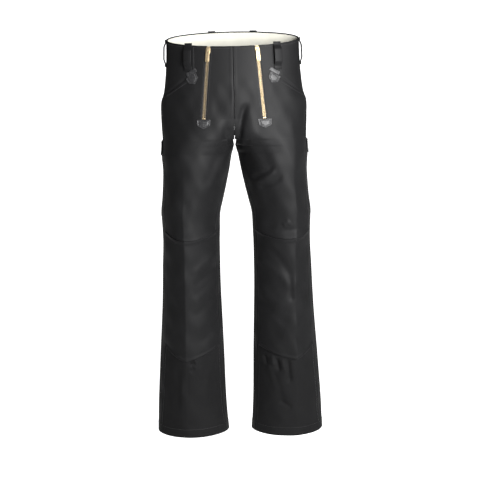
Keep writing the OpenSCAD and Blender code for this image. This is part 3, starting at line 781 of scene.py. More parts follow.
def build_flap():
    """Both halves of the flap, from the left zip to the right one."""
    level = np.linspace(ZIP_FOOT, LENGTH, 68)
    halves = []
    for side in (LEFT, RIGHT):
        knots = front_knots(side, level)[3:]
        t, lev = spaced(knots, (INNER_CELLS,), level)
        h = level_height(lev, -t)
        at_end = row_distance(skin(side, -t, h), True)
        lift = seam_shape(at_end, 0.0003)
        pair = [skin(side, -t, h, lift), skin(side, -t, h, lift - CLOTH)]
        halves.append(pair if side == LEFT else [p[:, ::-1][:, 1:] for p in pair])
    return [np.concatenate([a, b], 1) for a, b in zip(*halves)]


def build_back(side):
    leg = np.linspace(0, INSEAM, 220)
    level = np.concatenate([leg, fork_levels(FOLD, 30), np.linspace(FOLD, LENGTH, 46)[1:]])
    h0 = level_height(level, 90.0)
    start = -side_shift(h0)
    end = np.where(h0 < INSEAM, 180 + inside_shift(h0), last_angle(h0))
    t, lev = spaced((start, end), (BACK_CELLS,), level)
    t = off_zero(np.where(t > 180, t - 360, t))
    h = level_height(lev, t)
    flat = skin(side, t, h)
    lift = seam_shape(row_distance(flat), 0.0003) + end_seam(row_distance(flat, True), h)
    lift = lift + hem_lift(lev)
    return skin(side, t, h, lift), skin(side, t, h, lift - CLOTH), None


def build_hip(side):
    """The back of the slash pocket's mouth, which goes on under the front."""
    along_mouth = np.linspace(SLASH_FOOT + 0.0005, SLASH_TOP, 36)
    level = np.concatenate([along_mouth, np.linspace(SLASH_TOP, LENGTH, 40)[1:]])
    mouth = slash_angle(level)
    cells = 40
    t = (mouth + 9)[:, None] * (np.arange(cells + 1) / cells)[None, :]
    lev = np.repeat(level[:, None], cells + 1, 1)
    h = level_height(lev, -t)
    sink = -0.0023 * ease((t - mouth[:, None] + 7) / 6)
    t = np.maximum(t, 1e-6)
    lift = sink + seam_shape(row_distance(skin(side, -t, h)), 0.0005)
    return skin(side, -t, h, lift), skin(side, -t, h, lift - CLOTH), None


def build_knee(side):
    up = np.linspace(0, 1, 111)
    knots = [np.array(knot) for knot in zip(*(knee_span(side, v) for v in up))]
    t, v = spaced(knots, (40, 52), up)
    foot, top = knee_edges(t, *(knot[:, None] for knot in knots))
    h = mix(foot, top, v)
    flat = skin(side, -t, h)
    edge = np.minimum(v * 0.34, (1 - v) * 0.34)
    turned = 0.0008 * (1 - ease((edge - 0.007) / 0.002)) - 0.0006 * (1 - ease(edge / 0.0012))
    lift = LAYER_GAP + CLOTH + turned
    for from_end in (False, True):
        lift = lift + 0.5 * seam_shape(row_distance(flat, from_end), 0.0006)
    for from_top in (False, True):
        lift = lift + seam_shape(level_distance(flat, from_top), 0.0008, 0.0012)
    return skin(side, -t, h, lift), skin(side, -t, h, lift - CLOTH), None


def ring_sheet(side, turns, levels, depth, thick, tilted=True):
    """A plain sheet at a depth behind the cloth: turns are signed angles, one column each."""
    t = off_zero(np.repeat(np.asarray(turns, float)[None, :], len(levels), 0))
    lev = np.repeat(np.asarray(levels, float)[:, None], t.shape[1], 1)
    h = level_height(lev, t) if tilted else lev
    return skin(side, t, h, -depth), skin(side, t, h, -depth - thick)


def build_hem(side):
    turns = np.concatenate([np.linspace(-179.9, -0.1, 60), np.linspace(0.1, 179.9, 60)])
    levels = np.linspace(0.001, HEM_HEIGHT, 6)
    return (*ring_sheet(side, turns, levels, CLOTH + 0.0004, LINING, False), None)


def build_lining():
    """The lining of the back and hips, in one band from zip to zip."""
    levels = np.linspace(LENGTH - 0.07, LENGTH - 0.0034, 16)
    halves = []
    for side in (LEFT, RIGHT):
        rows = []
        for lev in levels:
            start = -float(zip_angle(np.array(lev), 0.016))
            turn = np.concatenate([np.linspace(start, -1e-3, 44), np.linspace(1e-3, 90, 56)])
            deep = mix(0.0042, CLOTH + 0.0005, ease((turn + 2) / 14))
            h = level_height(np.full_like(turn, lev), turn)
            rows.append((skin(side, turn, h, -deep), skin(side, turn, h, -deep - LINING)))
        pair = [np.array([r[k] for r in rows]) for k in (0, 1)]
        halves.append(pair if side == LEFT else [p[:, ::-1][:, 1:] for p in pair])
    return (*[np.concatenate([a, b], 1) for a, b in zip(*halves)], None)


def build_flap_lining():
    levels = np.linspace(FOLD + 0.003, LENGTH - 0.001, 30)
    halves = []
    for side in (LEFT, RIGHT):
        rows = []
        for lev in levels:
            turn = -np.linspace(float(zip_angle(np.array(lev), -0.0155)), 90, 24)
            h = level_height(np.full_like(turn, lev), turn)
            deep = CLOTH + 0.0004
            rows.append((skin(side, turn, h, -deep), skin(side, turn, h, -deep - LINING)))
        pair = [np.array([r[k] for r in rows]) for k in (0, 1)]
        halves.append(pair if side == LEFT else [p[:, ::-1][:, 1:] for p in pair])
    return (*[np.concatenate([a, b], 1) for a, b in zip(*halves)], None)


def build_bag(side):
    """The pocket's cream bag: its mouth end is deep, its other edges are sewn up against the front."""
    levels = np.linspace(INSEAM + 0.008, SLASH_TOP - 0.01, 40)
    turns = np.linspace(6, float(zip_angle(np.array(FOLD), 0.02)), 36)
    t = np.repeat(turns[None, :], 40, 0)
    lev = np.repeat(levels[:, None], 36, 1)
    h = level_height(lev, -t)
    rim = np.minimum(np.minimum((t - 6) / 8, (turns[-1] - t) / 8), (lev - levels[0]) / 0.02)
    deep = mix(0.0024, 0.0044, np.maximum(ease(rim), ease((lev - SLASH_FOOT + 0.02) / 0.02)))
    return skin(side, -t, h, -deep), skin(side, -t, h, -deep - LINING), None


def build_ruler(side):
    """The long pocket down the thigh's side; its mouth stands a little open."""
    foot, rows, cols = RULER_TOP - RULER_HEIGHT, 60, 40
    u, v = np.meshgrid(np.linspace(0, 1, cols), np.linspace(0, 1, rows))
    t = mix(*RULER_TURNS, u)
    edge = np.minimum(np.minimum(u, 1 - u) * 0.13, np.minimum(v, 1 - v) * RULER_HEIGHT)
    stand = 0.0034 * v ** 4 * np.sin(math.pi * u)
    lift = CLOTH + LAYER_GAP + 0.0003 + turned_edge(edge) + stand
    h = mix(foot, RULER_TOP, v)
    return skin(side, t, h, lift), skin(side, t, h, lift - CLOTH), None


def build_seat_pocket(side):
    rows, cols = 46, 46
    u, v = np.meshgrid(np.linspace(0, 1, cols), np.linspace(0, 1, rows))
    foot = SEAT_POCKET_FOOT
    h = mix(foot + SEAT_POCKET_POINT * np.abs(2 * u - 1), foot + SEAT_POCKET_HEIGHT, v)
    edge = np.minimum(np.minimum(u, 1 - u) * 0.1, np.minimum(v, 1 - v) * SEAT_POCKET_HEIGHT)
    lift = CLOTH + LAYER_GAP + 0.0003 + turned_edge(edge) + 0.0012 * v ** 3 * np.sin(math.pi * u)
    t = mix(*SEAT_POCKET_TURNS, u)
    return skin(side, t, h, lift), skin(side, t, h, lift - CLOTH), None


# ---- belt loops ----

LOOP_WIDTH, LOOP_LENGTH, LOOP_ROOM = 0.022, 0.076, 0.008
LOOP_THICK, SIDE_LOOP_THICK = 0.0021, 0.0032
# Where a loop is, its angle, how far it stands above the waist's edge, and how far its ends stand off
LOOPS = (("front", -float(angle_at(0.122, LENGTH - 0.018)), 0.005, 0.0025), ("side", 0.001, 0.0, 0.001),
         ("back", float(angle_at(0.06, LENGTH)), 0.004, 0.001))


def loop_frame(side, angle, above):
    top = float(edge_height(angle)) + above
    a = Vector(skin(side, angle, top - LOOP_LENGTH).tolist())
    b = Vector(skin(side, angle, top).tolist())
    up = (b - a).normalized()
    out = outward(side, angle, top - LOOP_LENGTH / 2)
    out = (out - up * out.dot(up)).normalized()
    return a, up.cross(out).normalized(), out, up


def build_loop(side, angle, above, foot):
    """A folded strap with two sewn ridges; its ends lie on the cloth and its middle bows out."""
    a, across, out, up = loop_frame(side, angle, above)
    rows, cols = 60, 17
    v = np.linspace(0, 1, rows)
    x = LOOP_WIDTH * (np.linspace(0, 1, cols) - 0.5)
    z = v * LOOP_LENGTH
    end = np.minimum(z, LOOP_LENGTH - z)
    bow, thick = (LOOP_ROOM, LOOP_THICK) if abs(angle) > 1 else (0.55 * LOOP_ROOM, SIDE_LOOP_THICK)
    room = foot + bow * ease((end - 0.007) / 0.016)
    round_edge = 0.0006 * (1 - ease((LOOP_WIDTH / 2 - np.abs(x)) / 0.0016))
    sewn = 0.00035 * np.exp(-(((np.abs(x) - 0.0075) / 0.0008) ** 2))
    tuck = 0.0007 * ease(1 - end / 0.004)
    cup = 0.0007 * (x / LOOP_WIDTH * 2) ** 2
    top = room[:, None] + thick - round_edge[None, :] - sewn[None, :] + tuck[:, None] - cup[None, :]
    low = room[:, None] - cup[None, :] + round_edge[None, :] * 0.5
    a, across, out, up = (np.array(v) for v in (a, across, out, up))
    grids = [a + x[None, :, None] * across + height[:, :, None] * out + z[:, None, None] * up
             for height in (top, low)]
    return grids[0], grids[1], None


# ---- zips: x across the chain, y inwards from the cloth's face, z up the chain ----


def zip_frame(side):
    foot = Vector((side * ZIP_FOOT_X, ZIP_FOOT_Y, ZIP_FOOT - LENGTH))
    top = Vector((side * ZIP_TOP_X, ZIP_TOP_Y, ZIP_TOP - LENGTH))
    up = (top - foot).normalized()
    h = FOLD + 0.08
    out = outward(side, -float(angle_at(float(zip_x(h)), h)), h)
    inward = (-out + up * out.dot(up)).normalized()
    across = inward.cross(up).normalized() * side
    return Matrix((
        (across.x, inward.x, up.x, foot.x), (across.y, inward.y, up.y, foot.y),
        (across.z, inward.z, up.z, foot.z), (0, 0, 0, 1)))


ZIP_LENGTH = math.dist((ZIP_FOOT_X, ZIP_FOOT_Y, ZIP_FOOT), (ZIP_TOP_X, ZIP_TOP_Y, ZIP_TOP))
CHAIN_Y = 0.0023
PITCH = 0.003
TOOTH_SIZE, TOOTH_X = (0.0048, 0.003, 0.0013), 0.0021
FIRST_TOOTH = 0.0054
LAST_TOOTH = ZIP_LENGTH - 0.007
SLIDER_LENGTH = 0.019
SLIDER_Z = ZIP_LENGTH - 0.0036 - SLIDER_LENGTH
PLATE_Y = CHAIN_Y - 0.0032
PIVOT_Z = SLIDER_Z + SLIDER_LENGTH * 0.47
PIVOT_Y = PLATE_Y - 0.0035
TAB_LENGTH, TAB_WIDTH, TAB_THICK, TAB_HOLE = 0.031, 0.011, 0.0016, 0.0016


def in_zip(side, points):
    m = np.array(zip_frame(side))
    return np.asarray(points) @ m[:3, :3].T + m[:3, 3]


def build_tape(side, flap, low, high):
    """One tape, with the corded edge that the teeth grip. x is away from the centre."""
    way = -1 if flap else 1
    across = np.concatenate([[0.0016, 0.0018, 0.0022, 0.0026, 0.003, 0.0034], np.linspace(0.004, 0.0138, 10)])
    cord = 0.0006 * np.sqrt(np.clip(1 - ((across - 0.0026) / 0.0011) ** 2, 0, 1))
    z = np.arange(low, high, 0.002)
    z = np.append(z, high)
    grids = []
    for face in (-1, 1):
        y = CHAIN_Y + face * (0.0003 + cord)
        points = np.stack(np.broadcast_arrays(way * across[None, :], y[None, :], z[:, None]), -1)
        grids.append(in_zip(side, points))
    return grids[0], grids[1], None


def tooth_shape():
    """One tooth: a bar with a rounded head and a waist, as a small mesh."""
    select_nothing()
    bpy.ops.mesh.primitive_cube_add(size=1, location=(0, 0, 0), scale=TOOTH_SIZE)
    made = bpy.context.object
    bpy.ops.object.transform_apply(location=True, rotation=False, scale=True)
    apply_modifier(made, "BEVEL", width=0.00035, segments=1)
    points = np.array([v.co for v in made.data.vertices])
    faces = [tuple(p.vertices) for p in made.data.polygons]
    bpy.data.objects.remove(made)
    return points, faces


def select_nothing():
    bpy.ops.object.select_all(action="DESELECT")


def many(name, points, faces, places):
    """One mesh of many copies of a shape; places gives each copy's points."""
    size = len(points)
    all_faces = [tuple(i + k * size for i in f) for k in range(len(places)) for f in faces]
    return new_object(name, np.concatenate(places), all_faces)


def build_teeth(name, side, flap, low, high, shape):
    points, faces = shape
    way = -1 if flap else 1
    count = int((high - low) / PITCH) + 1
    places = []
    head = np.where(points[:, 0] < 0, 0.88, 1.0)
    for k in range(count):
        z = low + (k + (0.5 if flap else 0)) * PITCH + TOOTH_SIZE[2] / 2
        copy = np.stack([way * (points[:, 0] + TOOTH_X), points[:, 1] * head + CHAIN_Y, points[:, 2] + z], -1)
        places.append(in_zip(side, copy))
    return turn_out(many(name, points, faces, places))


def turn_out(o):
    """Faces of closed shapes turned outwards."""
    select_only(o)
    bpy.ops.object.mode_set(mode="EDIT")
    bpy.ops.mesh.select_all(action="SELECT")
    bpy.ops.mesh.normals_make_consistent(inside=False)
    bpy.ops.object.mode_set(mode="OBJECT")
    return o


def into_place(o, matrix):
    """Moves the mesh itself, so that its object stays at the origin."""
    o.data.transform(matrix @ o.matrix_basis)
    o.matrix_basis = Matrix.Identity(4)
    return turn_out(o)


def block(name, size, at, edge=0.0, segments=2):
    select_nothing()
    bpy.ops.mesh.primitive_cube_add(size=1, location=at, scale=size)
    made = bpy.context.object
    made.name = made.data.name = name
    bpy.ops.object.transform_apply(location=True, rotation=False, scale=True)
    if edge:
        apply_modifier(made, "BEVEL", width=edge, segments=segments)
    return made


def apply_modifier(o, kind, **settings):
    select_only(o)
    made = o.modifiers.new("step", kind)
    for key, value in settings.items():
        setattr(made, key, value)
    bpy.ops.object.modifier_apply(modifier=made.name)


def cut_away(o, cutter):
    apply_modifier(o, "BOOLEAN", operation="DIFFERENCE", object=cutter, solver="EXACT")
    bpy.data.objects.remove(cutter)


def rod(radius, length, at, axis="Z", vertices=32):
    select_nothing()
    turn = {"X": (0, math.pi / 2, 0), "Y": (math.pi / 2, 0, 0), "Z": (0, 0, 0)}[axis]
    bpy.ops.mesh.primitive_cylinder_add(
        vertices=vertices, radius=radius, depth=length, location=at, rotation=turn)
    made = bpy.context.object
    bpy.ops.object.transform_apply(location=True, rotation=True, scale=True)
    return made


def join(name, objects):
    select_only(*objects)
    bpy.ops.object.join()
    made = bpy.context.object
    made.name = made.data.name = name
    return made


def extrude_outline(name, outline, low, high, edge):
    """A plate from an outline of (x, z) points, between two depths, with softened edges."""
    n = len(outline)
    points = [(x, y, z) for y in (low, high) for x, z in outline]
    faces = [tuple(range(n)), tuple(reversed(range(n, 2 * n)))]
    faces += [(i, i + n, (i + 1) % n + n, (i + 1) % n) for i in range(n)]
    made = turn_out(new_object(name, points, faces))
    apply_modifier(made, "BEVEL", width=edge, segments=2, limit_method="ANGLE", angle_limit=math.radians(35))
    return made


def slider_outline(side_in=0.0):
    """Outline of a slider's plate, with the notch where the chain parts at its upper end."""
    w, l = 0.0065 - side_in, SLIDER_LENGTH
    return [(-w + 0.0022, 0), (w - 0.0022, 0), (w - 0.0006, 0.18 * l), (w, 0.42 * l), (w, 0.72 * l),
            (w - 0.0006, 0.88 * l), (w - 0.002, l), (0.0009, l), (0, 0.93 * l), (-0.0009, l),
            (-w + 0.002, l), (-w + 0.0006, 0.88 * l), (-w, 0.72 * l), (-w, 0.42 * l),
            (-w + 0.0006, 0.18 * l)]


def build_slider(side):
    """Two plates joined by side flanges round the chain, and the arch that holds the pull."""
    parts = []
    for name, y, side_in in (("front_plate", PLATE_Y, 0.0), ("back_plate", PLATE_Y + 0.0049, 0.0003)):
        parts.append(extrude_outline(name, slider_outline(side_in), y, y + 0.0015, 0.0005))
    for way in (-1, 1):
        for y in (PLATE_Y + 0.0019, PLATE_Y + 0.0044):
            parts.append(block("flange", (0.0011, 0.0011, 0.011), (way * 0.0058, y, 0.0085), 0.0003))
    arch = PIVOT_Z - SLIDER_Z
    parts.append(block("arch_top", (0.003, 0.0013, 0.0076), (0, PLATE_Y - 0.00545, arch), 0.0005))
    for z in (-0.0032, 0.0032):
        parts.append(block("arch_leg", (0.003, 0.0056, 0.0013), (0, PLATE_Y - 0.0026, arch + z), 0.0004))
    made = join(f"slider_{SIDE_WORDS[side]}", parts)
    return into_place(made, zip_frame(side) @ Matrix.Translation((0, 0, SLIDER_Z)))


def build_pull(side):
    """A flat tab with three holes, a rim round it and a bar that turns in the slider's arch."""
    corner = 0.0022
    w, l = TAB_WIDTH / 2, TAB_LENGTH
    outline = []
    for cx, cz, start in ((w - corner, -corner, 0), (-w + corner, -corner, 90),
                          (-w + corner, -l + corner, 180), (w - corner, -l + corner, 270)):
        for k in range(7):
            a = math.radians(start + 15 * k)
            outline.append((cx + corner * math.cos(a), cz + corner * math.sin(a) + 0.0009))
    tab = extrude_outline("tab", outline, -TAB_THICK / 2, TAB_THICK / 2, 0.00035)
    cut_away(tab, block("slot", (0.0046, 0.006, 0.0062), (0, 0, -0.0040), 0.0))
    holes = [-l + 0.004 + 0.007 * k for k in range(3)]
    for z in holes:
        cut_away(tab, rod(TAB_HOLE, 0.006, (0, 0, z), "Y"))
    rims = []
    for z in holes:
        select_nothing()
        bpy.ops.mesh.primitive_torus_add(
            major_radius=TAB_HOLE + 0.0005, minor_radius=0.00045, major_segments=32, minor_segments=8,
            location=(0, -TAB_THICK / 2, z), rotation=(math.pi / 2, 0, 0))
        bpy.ops.object.transform_apply(location=True, rotation=True, scale=True)
        rims.append(bpy.context.object)
    bar = rod(0.0009, 0.0058, (0, 0, 0), "X", 20)
    made = join(f"pull_{SIDE_WORDS[side]}", [tab, bar, *rims])
    return into_place(made, zip_frame(side) @ Matrix.Translation((0, PIVOT_Y, PIVOT_Z)))


def build_stop(name, side, low, tall, half, middle_x=0.0):
    made = block(name, (2 * half, 0.0036, tall), (middle_x, CHAIN_Y, low + tall / 2), 0.0008, 3)
    return into_place(made, zip_frame(side))


# ---- leather ----


def pentagon(w, h, point=0.38, corner=0.0022, steps=6):
    """Outline of a shield with its point down, its top edge at 0."""
    half = w / 2
    shoulder = -h * (1 - point)
    corners = [(-half, 0), (half, 0), (half * 0.94, shoulder), (0, -h), (-half * 0.94, shoulder)]
    return rounded(corners, corner, steps)


def oblong(w, h, corner=0.002, steps=5):
    return rounded([(-w / 2, 0), (w / 2, 0), (w / 2, -h), (-w / 2, -h)], corner, steps)


def rounded(corners, radius, steps):
    """An outline with rounded corners and points spread along its edges."""
    out = []
    n = len(corners)
    for i in range(n):
        p, a, b = (np.array(corners[k % n], float) for k in (i, i - 1, i + 1))
        u, v = (a - p) / np.linalg.norm(a - p), (b - p) / np.linalg.norm(b - p)
        start, end = p + u * radius, p + v * radius
        out += [(1 - s) ** 2 * start + 2 * s * (1 - s) * p + s * s * end for s in np.linspace(0, 1, steps)]
        nxt = np.array(corners[(i + 1) % n], float)
        w = (p - nxt) / np.linalg.norm(p - nxt)
        far = nxt + w * radius
        out += [mix(end, far, s) for s in np.linspace(0, 1, 6)[1:-1]]
    return np.array(out)


# Share of the outline and height in millimetres, from the outer edge to the middle
BORDERED = [(1.0, -0.2), (1.0, 0.7), (0.985, 1.1), (0.955, 1.35), (0.9, 1.4), (0.85, 1.2), (0.82, 0.7),
            (0.79, 0.5), (0.72, 0.5), (0.68, 0.7), (0.64, 1.15), (0.59, 1.35), (0.5, 1.5), (0.35, 1.6),
            (0.18, 1.65)]
PLAIN = [(1.0, -0.2), (1.0, 0.8), (0.98, 1.2), (0.94, 1.5), (0.88, 1.6), (0.82, 1.45), (0.78, 1.15),
         (0.72, 1.1), (0.55, 1.3), (0.3, 1.4), (0.12, 1.4)]


def lay(angle, h, across, up, x):
    """Angles and heights of places on the cloth that are so far across and up from one place.

    x is that place's own x, where the angle changes too fast with the height to be kept.
    """
    per = degree_length(angle, h)
    if x is None:
        return angle - across / per, h + up
    step = half_width(h) * abs(math.cos(math.radians(angle + 1)) - math.cos(math.radians(angle - 1)))
    return -angle_at(x - across * step / (2 * per), h + up), h + up


def build_patch(name, side, angle, h, outline, turn, profile, base, x=None):
    """A moulded piece that lies on the cloth. x of the outline runs towards the front centre."""
    c, s = math.cos(math.radians(turn)), math.sin(math.radians(turn))
    centre = outline.mean(0)
    rings = []
    for share, lift in profile:
        p = centre + (outline - centre) * share
        q = np.stack([p[:, 0] * c - p[:, 1] * s, p[:, 0] * s + p[:, 1] * c], -1)
        rings.append(skin(side, *lay(angle, h, q[:, 0], q[:, 1], x), base + lift * MM))
    n = len(outline)
    points = np.concatenate(rings + [rings[-1].mean(0)[None], rings[0].mean(0)[None]])
    faces = []
    for r in range(0, (len(rings) - 1) * n, n):
        faces += [(r + i, r + (i + 1) % n, r + n + (i + 1) % n, r + n + i) for i in range(n)]
    top, low, last = len(points) - 2, len(points) - 1, (len(rings) - 1) * n
    faces += [(last + i, last + (i + 1) % n, top) for i in range(n)]
    faces += [((i + 1) % n, i, low) for i in range(n)]
    return turn_out(new_object(name, points, faces))


# ---- stitching ----


def stitch_shape():
    """One stitch: a short thread that dips into the cloth at both ends."""
    rings, sides = 4, 5
    points, faces = [], []
    for k in range(rings):
        s = k / (rings - 1)
        lift = math.sin(math.pi * s) * 0.55
        size = 0.5 + 0.5 * math.sin(math.pi * s)
        for j in range(sides):
            a = 2 * math.pi * j / sides
            points.append((s - 0.5, math.cos(a) * size, math.sin(a) * size + lift))
    for k in range(rings - 1):
        for j in range(sides):
            faces.append((k * sides + j, k * sides + (j + 1) % sides,
                          (k + 1) * sides + (j + 1) % sides, (k + 1) * sides + j))
    faces.append(tuple(reversed(range(sides))))
    faces.append(tuple((rings - 1) * sides + j for j in range(sides)))
    return np.array(points), faces


def stitch_places(points, line, normals, pitch=0.0034, length=0.0024, thick=0.00034):
    """Copies of one stitch's points along a line."""
    line, normals = np.asarray(line), np.asarray(normals)
    at = np.concatenate([[0], np.cumsum(np.linalg.norm(np.diff(line, axis=0), axis=1))])
    places = []
    for start in np.arange(pitch, at[-1] - pitch, pitch):
        p, q = (np.array([np.interp(start + d, at, line[:, k]) for k in range(3)]) for d in (0, length))
        n = np.array([np.interp(start, at, normals[:, k]) for k in range(3)])
        along = (q - p) / max(np.linalg.norm(q - p), 1e-9)
        n = n - along * n.dot(along)
        n /= np.linalg.norm(n)
        side = np.cross(n, along)
        places.append((p + q) / 2 + points[:, :1] * along * length + points[:, 1:2] * side * thick
                      + points[:, 2:] * n * thick)
    return places


def cloth_line(side, angles, heights, lift, tilted=True):
    """A line on the cloth and the way out from it."""
    t, lev = np.broadcast_arrays(np.asarray(angles, float), np.asarray(heights, float))
    h = level_height(lev, t) if tilted else lev
    line = skin(side, t, h, lift)
    return line, skin(side, t, h, lift + 0.001) - line


def stitch_lines(side):
    """Every topstitched line of one side of the trousers, as (line, normals)."""
    lines = []
    ground = 0.0001
    leg = np.linspace(0.004, 0.93, 400)
    for gap in (2.2, 5.0):
        lines.append(cloth_line(side, -(side_shift(leg) + gap * 0.6), leg, ground + 0.0006, False))
    low = np.linspace(0.004, INSEAM - 0.03, 380)
    lines.append(cloth_line(side, -(180 - inside_shift(low) - 1.6), low, ground + 0.0006, False))
    around = np.concatenate([np.linspace(-179, -1, 120), np.linspace(1, 179, 120)])
    lines.append(cloth_line(side, around, np.full(240, HEM_HEIGHT - 0.002), ground + 0.0007, False))
    slash = np.linspace(SLASH_FOOT + 0.002, SLASH_TOP, 80)
    for gap in (2.0, 5.2):
        lines.append(cloth_line(side, -(slash_angle(slash) + gap), slash, ground))
    over = np.linspace(SLASH_TOP + 0.002, LENGTH - 0.001, 50)
    for gap in (1.6, 4.0):
        lines.append(cloth_line(side, -(slash_angle(over) + gap), over, ground))
    span = -np.linspace(1, float(zip_angle(np.array(LENGTH - 0.005), 0.009)), 80)
    lines.append(cloth_line(side, span, np.full(80, LENGTH - 0.007), ground))
    lines.append(cloth_line(side, np.linspace(1, 89, 120), np.full(120, LENGTH - 0.007), ground))
    rise = np.linspace(ZIP_FOOT + 0.004, LENGTH - 0.002, 100)
    lines.append(cloth_line(side, -zip_angle(rise, HALF_SLIT + 0.0025), rise, ground))
    seat = np.linspace(INSEAM + 0.03, LENGTH - 0.01, 120)
    for away in (1.6, 3.2):
        turns = np.clip(last_angle(level_height(seat, 90.0)) - away, 0, 180)
        lines.append(cloth_line(side, turns, seat, ground + 0.0004))
    panel = CLOTH + LAYER_GAP + ground + 0.0007
    for v in (0.016, 0.984):
        t, h = knee_row(side, v)
        lines.append(cloth_line(side, -t, h, panel, False))
    lines += pocket_lines(side, ground)
    return lines


def knee_row(side, v):
    """Angles and heights along the knee panel, at a share of its height."""
    first, ridge, last = knee_span(side, v)
    t = np.linspace(first + 1, last - 1, 140)
    foot, top = knee_edges(t, first, ridge, last)
    return t, mix(foot, top, v)


def pocket_lines(side, ground):
    lines = []
    lift = CLOTH + LAYER_GAP + 0.001 + ground
    foot = RULER_TOP - RULER_HEIGHT + 0.003
    up = np.linspace(foot, RULER_TOP - 0.012, 90)
    for turn in (4.2, 75.8):
        lines.append(cloth_line(side, np.full(90, turn), up, lift, False))
    lines.append(cloth_line(side, np.linspace(4.2, 75.8, 70), np.full(70, foot), lift, False))
    foot = SEAT_POCKET_FOOT
    up = np.linspace(foot + SEAT_POCKET_POINT, foot + 0.127, 60)
    for turn in (39.3, 78.7):
        lines.append(cloth_line(side, np.full(60, turn), up, lift, False))
    u = np.linspace(0.03, 0.97, 60)
    turns = mix(*SEAT_POCKET_TURNS, u)
    lines.append(cloth_line(side, turns, foot + SEAT_POCKET_POINT * np.abs(2 * u - 1) + 0.003, lift, False))
    lines.append(cloth_line(side, turns, np.full(60, foot + 0.118), lift + 0.0006, False))
    return lines


def flap_lines():
    lines = []
    rise = np.linspace(ZIP_FOOT + 0.004, LENGTH - 0.002, 100)
    for side in (LEFT, RIGHT):
        lines.append(cloth_line(side, -zip_angle(rise, -HALF_SLIT - 0.0025), rise, 0.0001))
        span = -np.linspace(float(zip_angle(np.array(LENGTH - 0.005), -0.009)), 89.4, 50)
        lines.append(cloth_line(side, span, np.full(50, LENGTH - 0.007), 0.0001))
    seam = -(last_angle(level_height(rise, -90.0)) - 0.9)
    lines.append(cloth_line(LEFT, seam, rise, 0.0004))
    return lines


def sew(name, lines):
    points, faces = stitch_shape()
    places = [p for line, normals in lines for p in stitch_places(points, line, normals)]
    return turn_out(many(name, points, faces, places))


# ---- sizes and colours ----


def size(name, description, default, low, high, unit="NONE"):
    return FloatProperty(name=name, description=description, default=default, min=low, max=high, unit=unit)


def colour(name, description, default):
    return FloatVectorProperty(
        name=name, description=description, default=default, min=0, max=1, subtype="COLOR")


def power(name, description, default):
    return FloatProperty(name=name, description=description, default=default, min=0, unit="POWER")


class TrouserSizes(bpy.types.PropertyGroup):
    """How the cloth lies."""

    folds: size("Folds", "Depth of the folds, 1 for those of a worn-in pair", 0.8, 0.0, 2.0)
    crease: size("Crease", "Sharpness of the pressed crease, 1 as ironed", 1.0, 0.0, 1.5)
    seam_ridge: size("Seam ridge", "Height of the cloth turned in at a seam", 0.0007, 0.0, 0.002, "LENGTH")


class TrouserColours(bpy.types.PropertyGroup):
    """What the pieces are coloured."""

    cloth: colour("Cloth", "Trouser cloth", (0.0055, 0.0055, 0.0059))
    lining: colour("Lining", "Lining of the waist and pockets", (0.5, 0.49, 0.43))
    leather: colour("Leather", "Moulded leather pieces", RECORD_COLOURS["leather"])
    brass: colour("Brass", "Zips", (0.46, 0.37, 0.235))
    tape: colour("Tape", "Zip tapes", RECORD_COLOURS["zip_tape"])
    thread: colour("Thread", "Topstitching", (0.016, 0.016, 0.017))
    floor: colour("Floor", "Floor", (0.95, 0.95, 0.95))


class StudioSizes(bpy.types.PropertyGroup):
    """Camera and light."""

    distance: size("Distance", "From the camera to the trousers", 3.0, 1.0, 8.0, "LENGTH")
    height: size("Height", "Height of the camera above the hem", 1.05, 0.0, 3.0, "LENGTH")
    lens: size("Lens", "Focal length in millimetres", 78.0, 20.0, 200.0)
    pitch: size("Pitch", "Angle by which the camera looks down", math.radians(9.1), -1.0, 1.0, "ROTATION")
    roll: size("Roll", "Turn of the camera about its own axis", math.radians(-1.15), -0.5, 0.5, "ROTATION")
    turn: size("Turn", "Turn of the camera to one side", math.radians(-0.19), -0.5, 0.5, "ROTATION")
    shift_x: size("Sideways", "Camera's place to the side", 0.0, -1.0, 1.0, "LENGTH")
    key: power("Key light", "Power of the main light", 70.0)
    fill: power("Fill light", "Power of the fill light", 4.0)
    key_height: size("Key height", "Main light's height from the waist", 0.05, -2.0, 3.0, "LENGTH")
    sky: size("Surroundings", "Brightness of the surroundings on the camera's side", 0.28, 0.0, 4.0)


# ---- operators: one for each piece or group of like pieces ----


class PieceOperator:
    """Shared by the operators, none of which catches an error: a step that fails stops the build."""

    bl_options = {"REGISTER", "UNDO"}


def add_sheet(name, grids, body, finish, slot, held, *nodes, **words):
    outer, inner, keep = grids
    o = closed_sheet(name, outer, inner, keep)
    dress(o, body, finish_for(finish), slot, *nodes)
    declare(o, outer, held, keep, **words)
    return o


class TROUSERS_OT_fronts(PieceOperator, bpy.types.Operator):
    """Front panels, from the hem to the waist, without the flap"""

    bl_idname = "trousers.fronts"
    bl_label = "Front Panels"

    def execute(self, context):
        for word, side in SIDES_OF:
            node = f"front_panel_{word}"
            add_sheet(f"front_{word}", build_front(side), "trousers", "cloth", "cloth", "hung", node)
        return {"FINISHED"}


class TROUSERS_OT_flap(PieceOperator, bpy.types.Operator):
    """Drop-front flap and its lining, which fold at the feet of the zips; here they are built closed and do
    not bend there
    """

    bl_idname = "trousers.flap"
    bl_label = "Flap"

    def execute(self, context):
        add_sheet("flap", (*build_flap(), None), fold_blend(), "cloth", "cloth", "hung",
                  "flap_left", "flap_right")
        add_sheet("flap_lining", build_flap_lining(), fold_blend(), "lining", "lining", "hung", "flap_lining")
        return {"FINISHED"}


class TROUSERS_OT_backs(PieceOperator, bpy.types.Operator):
    """Back panels, which come round to the side seams and inside seams at the front"""

    bl_idname = "trousers.backs"
    bl_label = "Back Panels"

    def execute(self, context):
        for word, side in SIDES_OF:
            node = f"back_panel_{word}"
            add_sheet(f"back_{word}", build_back(side), "trousers", "cloth", "cloth", "hung", node)
        return {"FINISHED"}


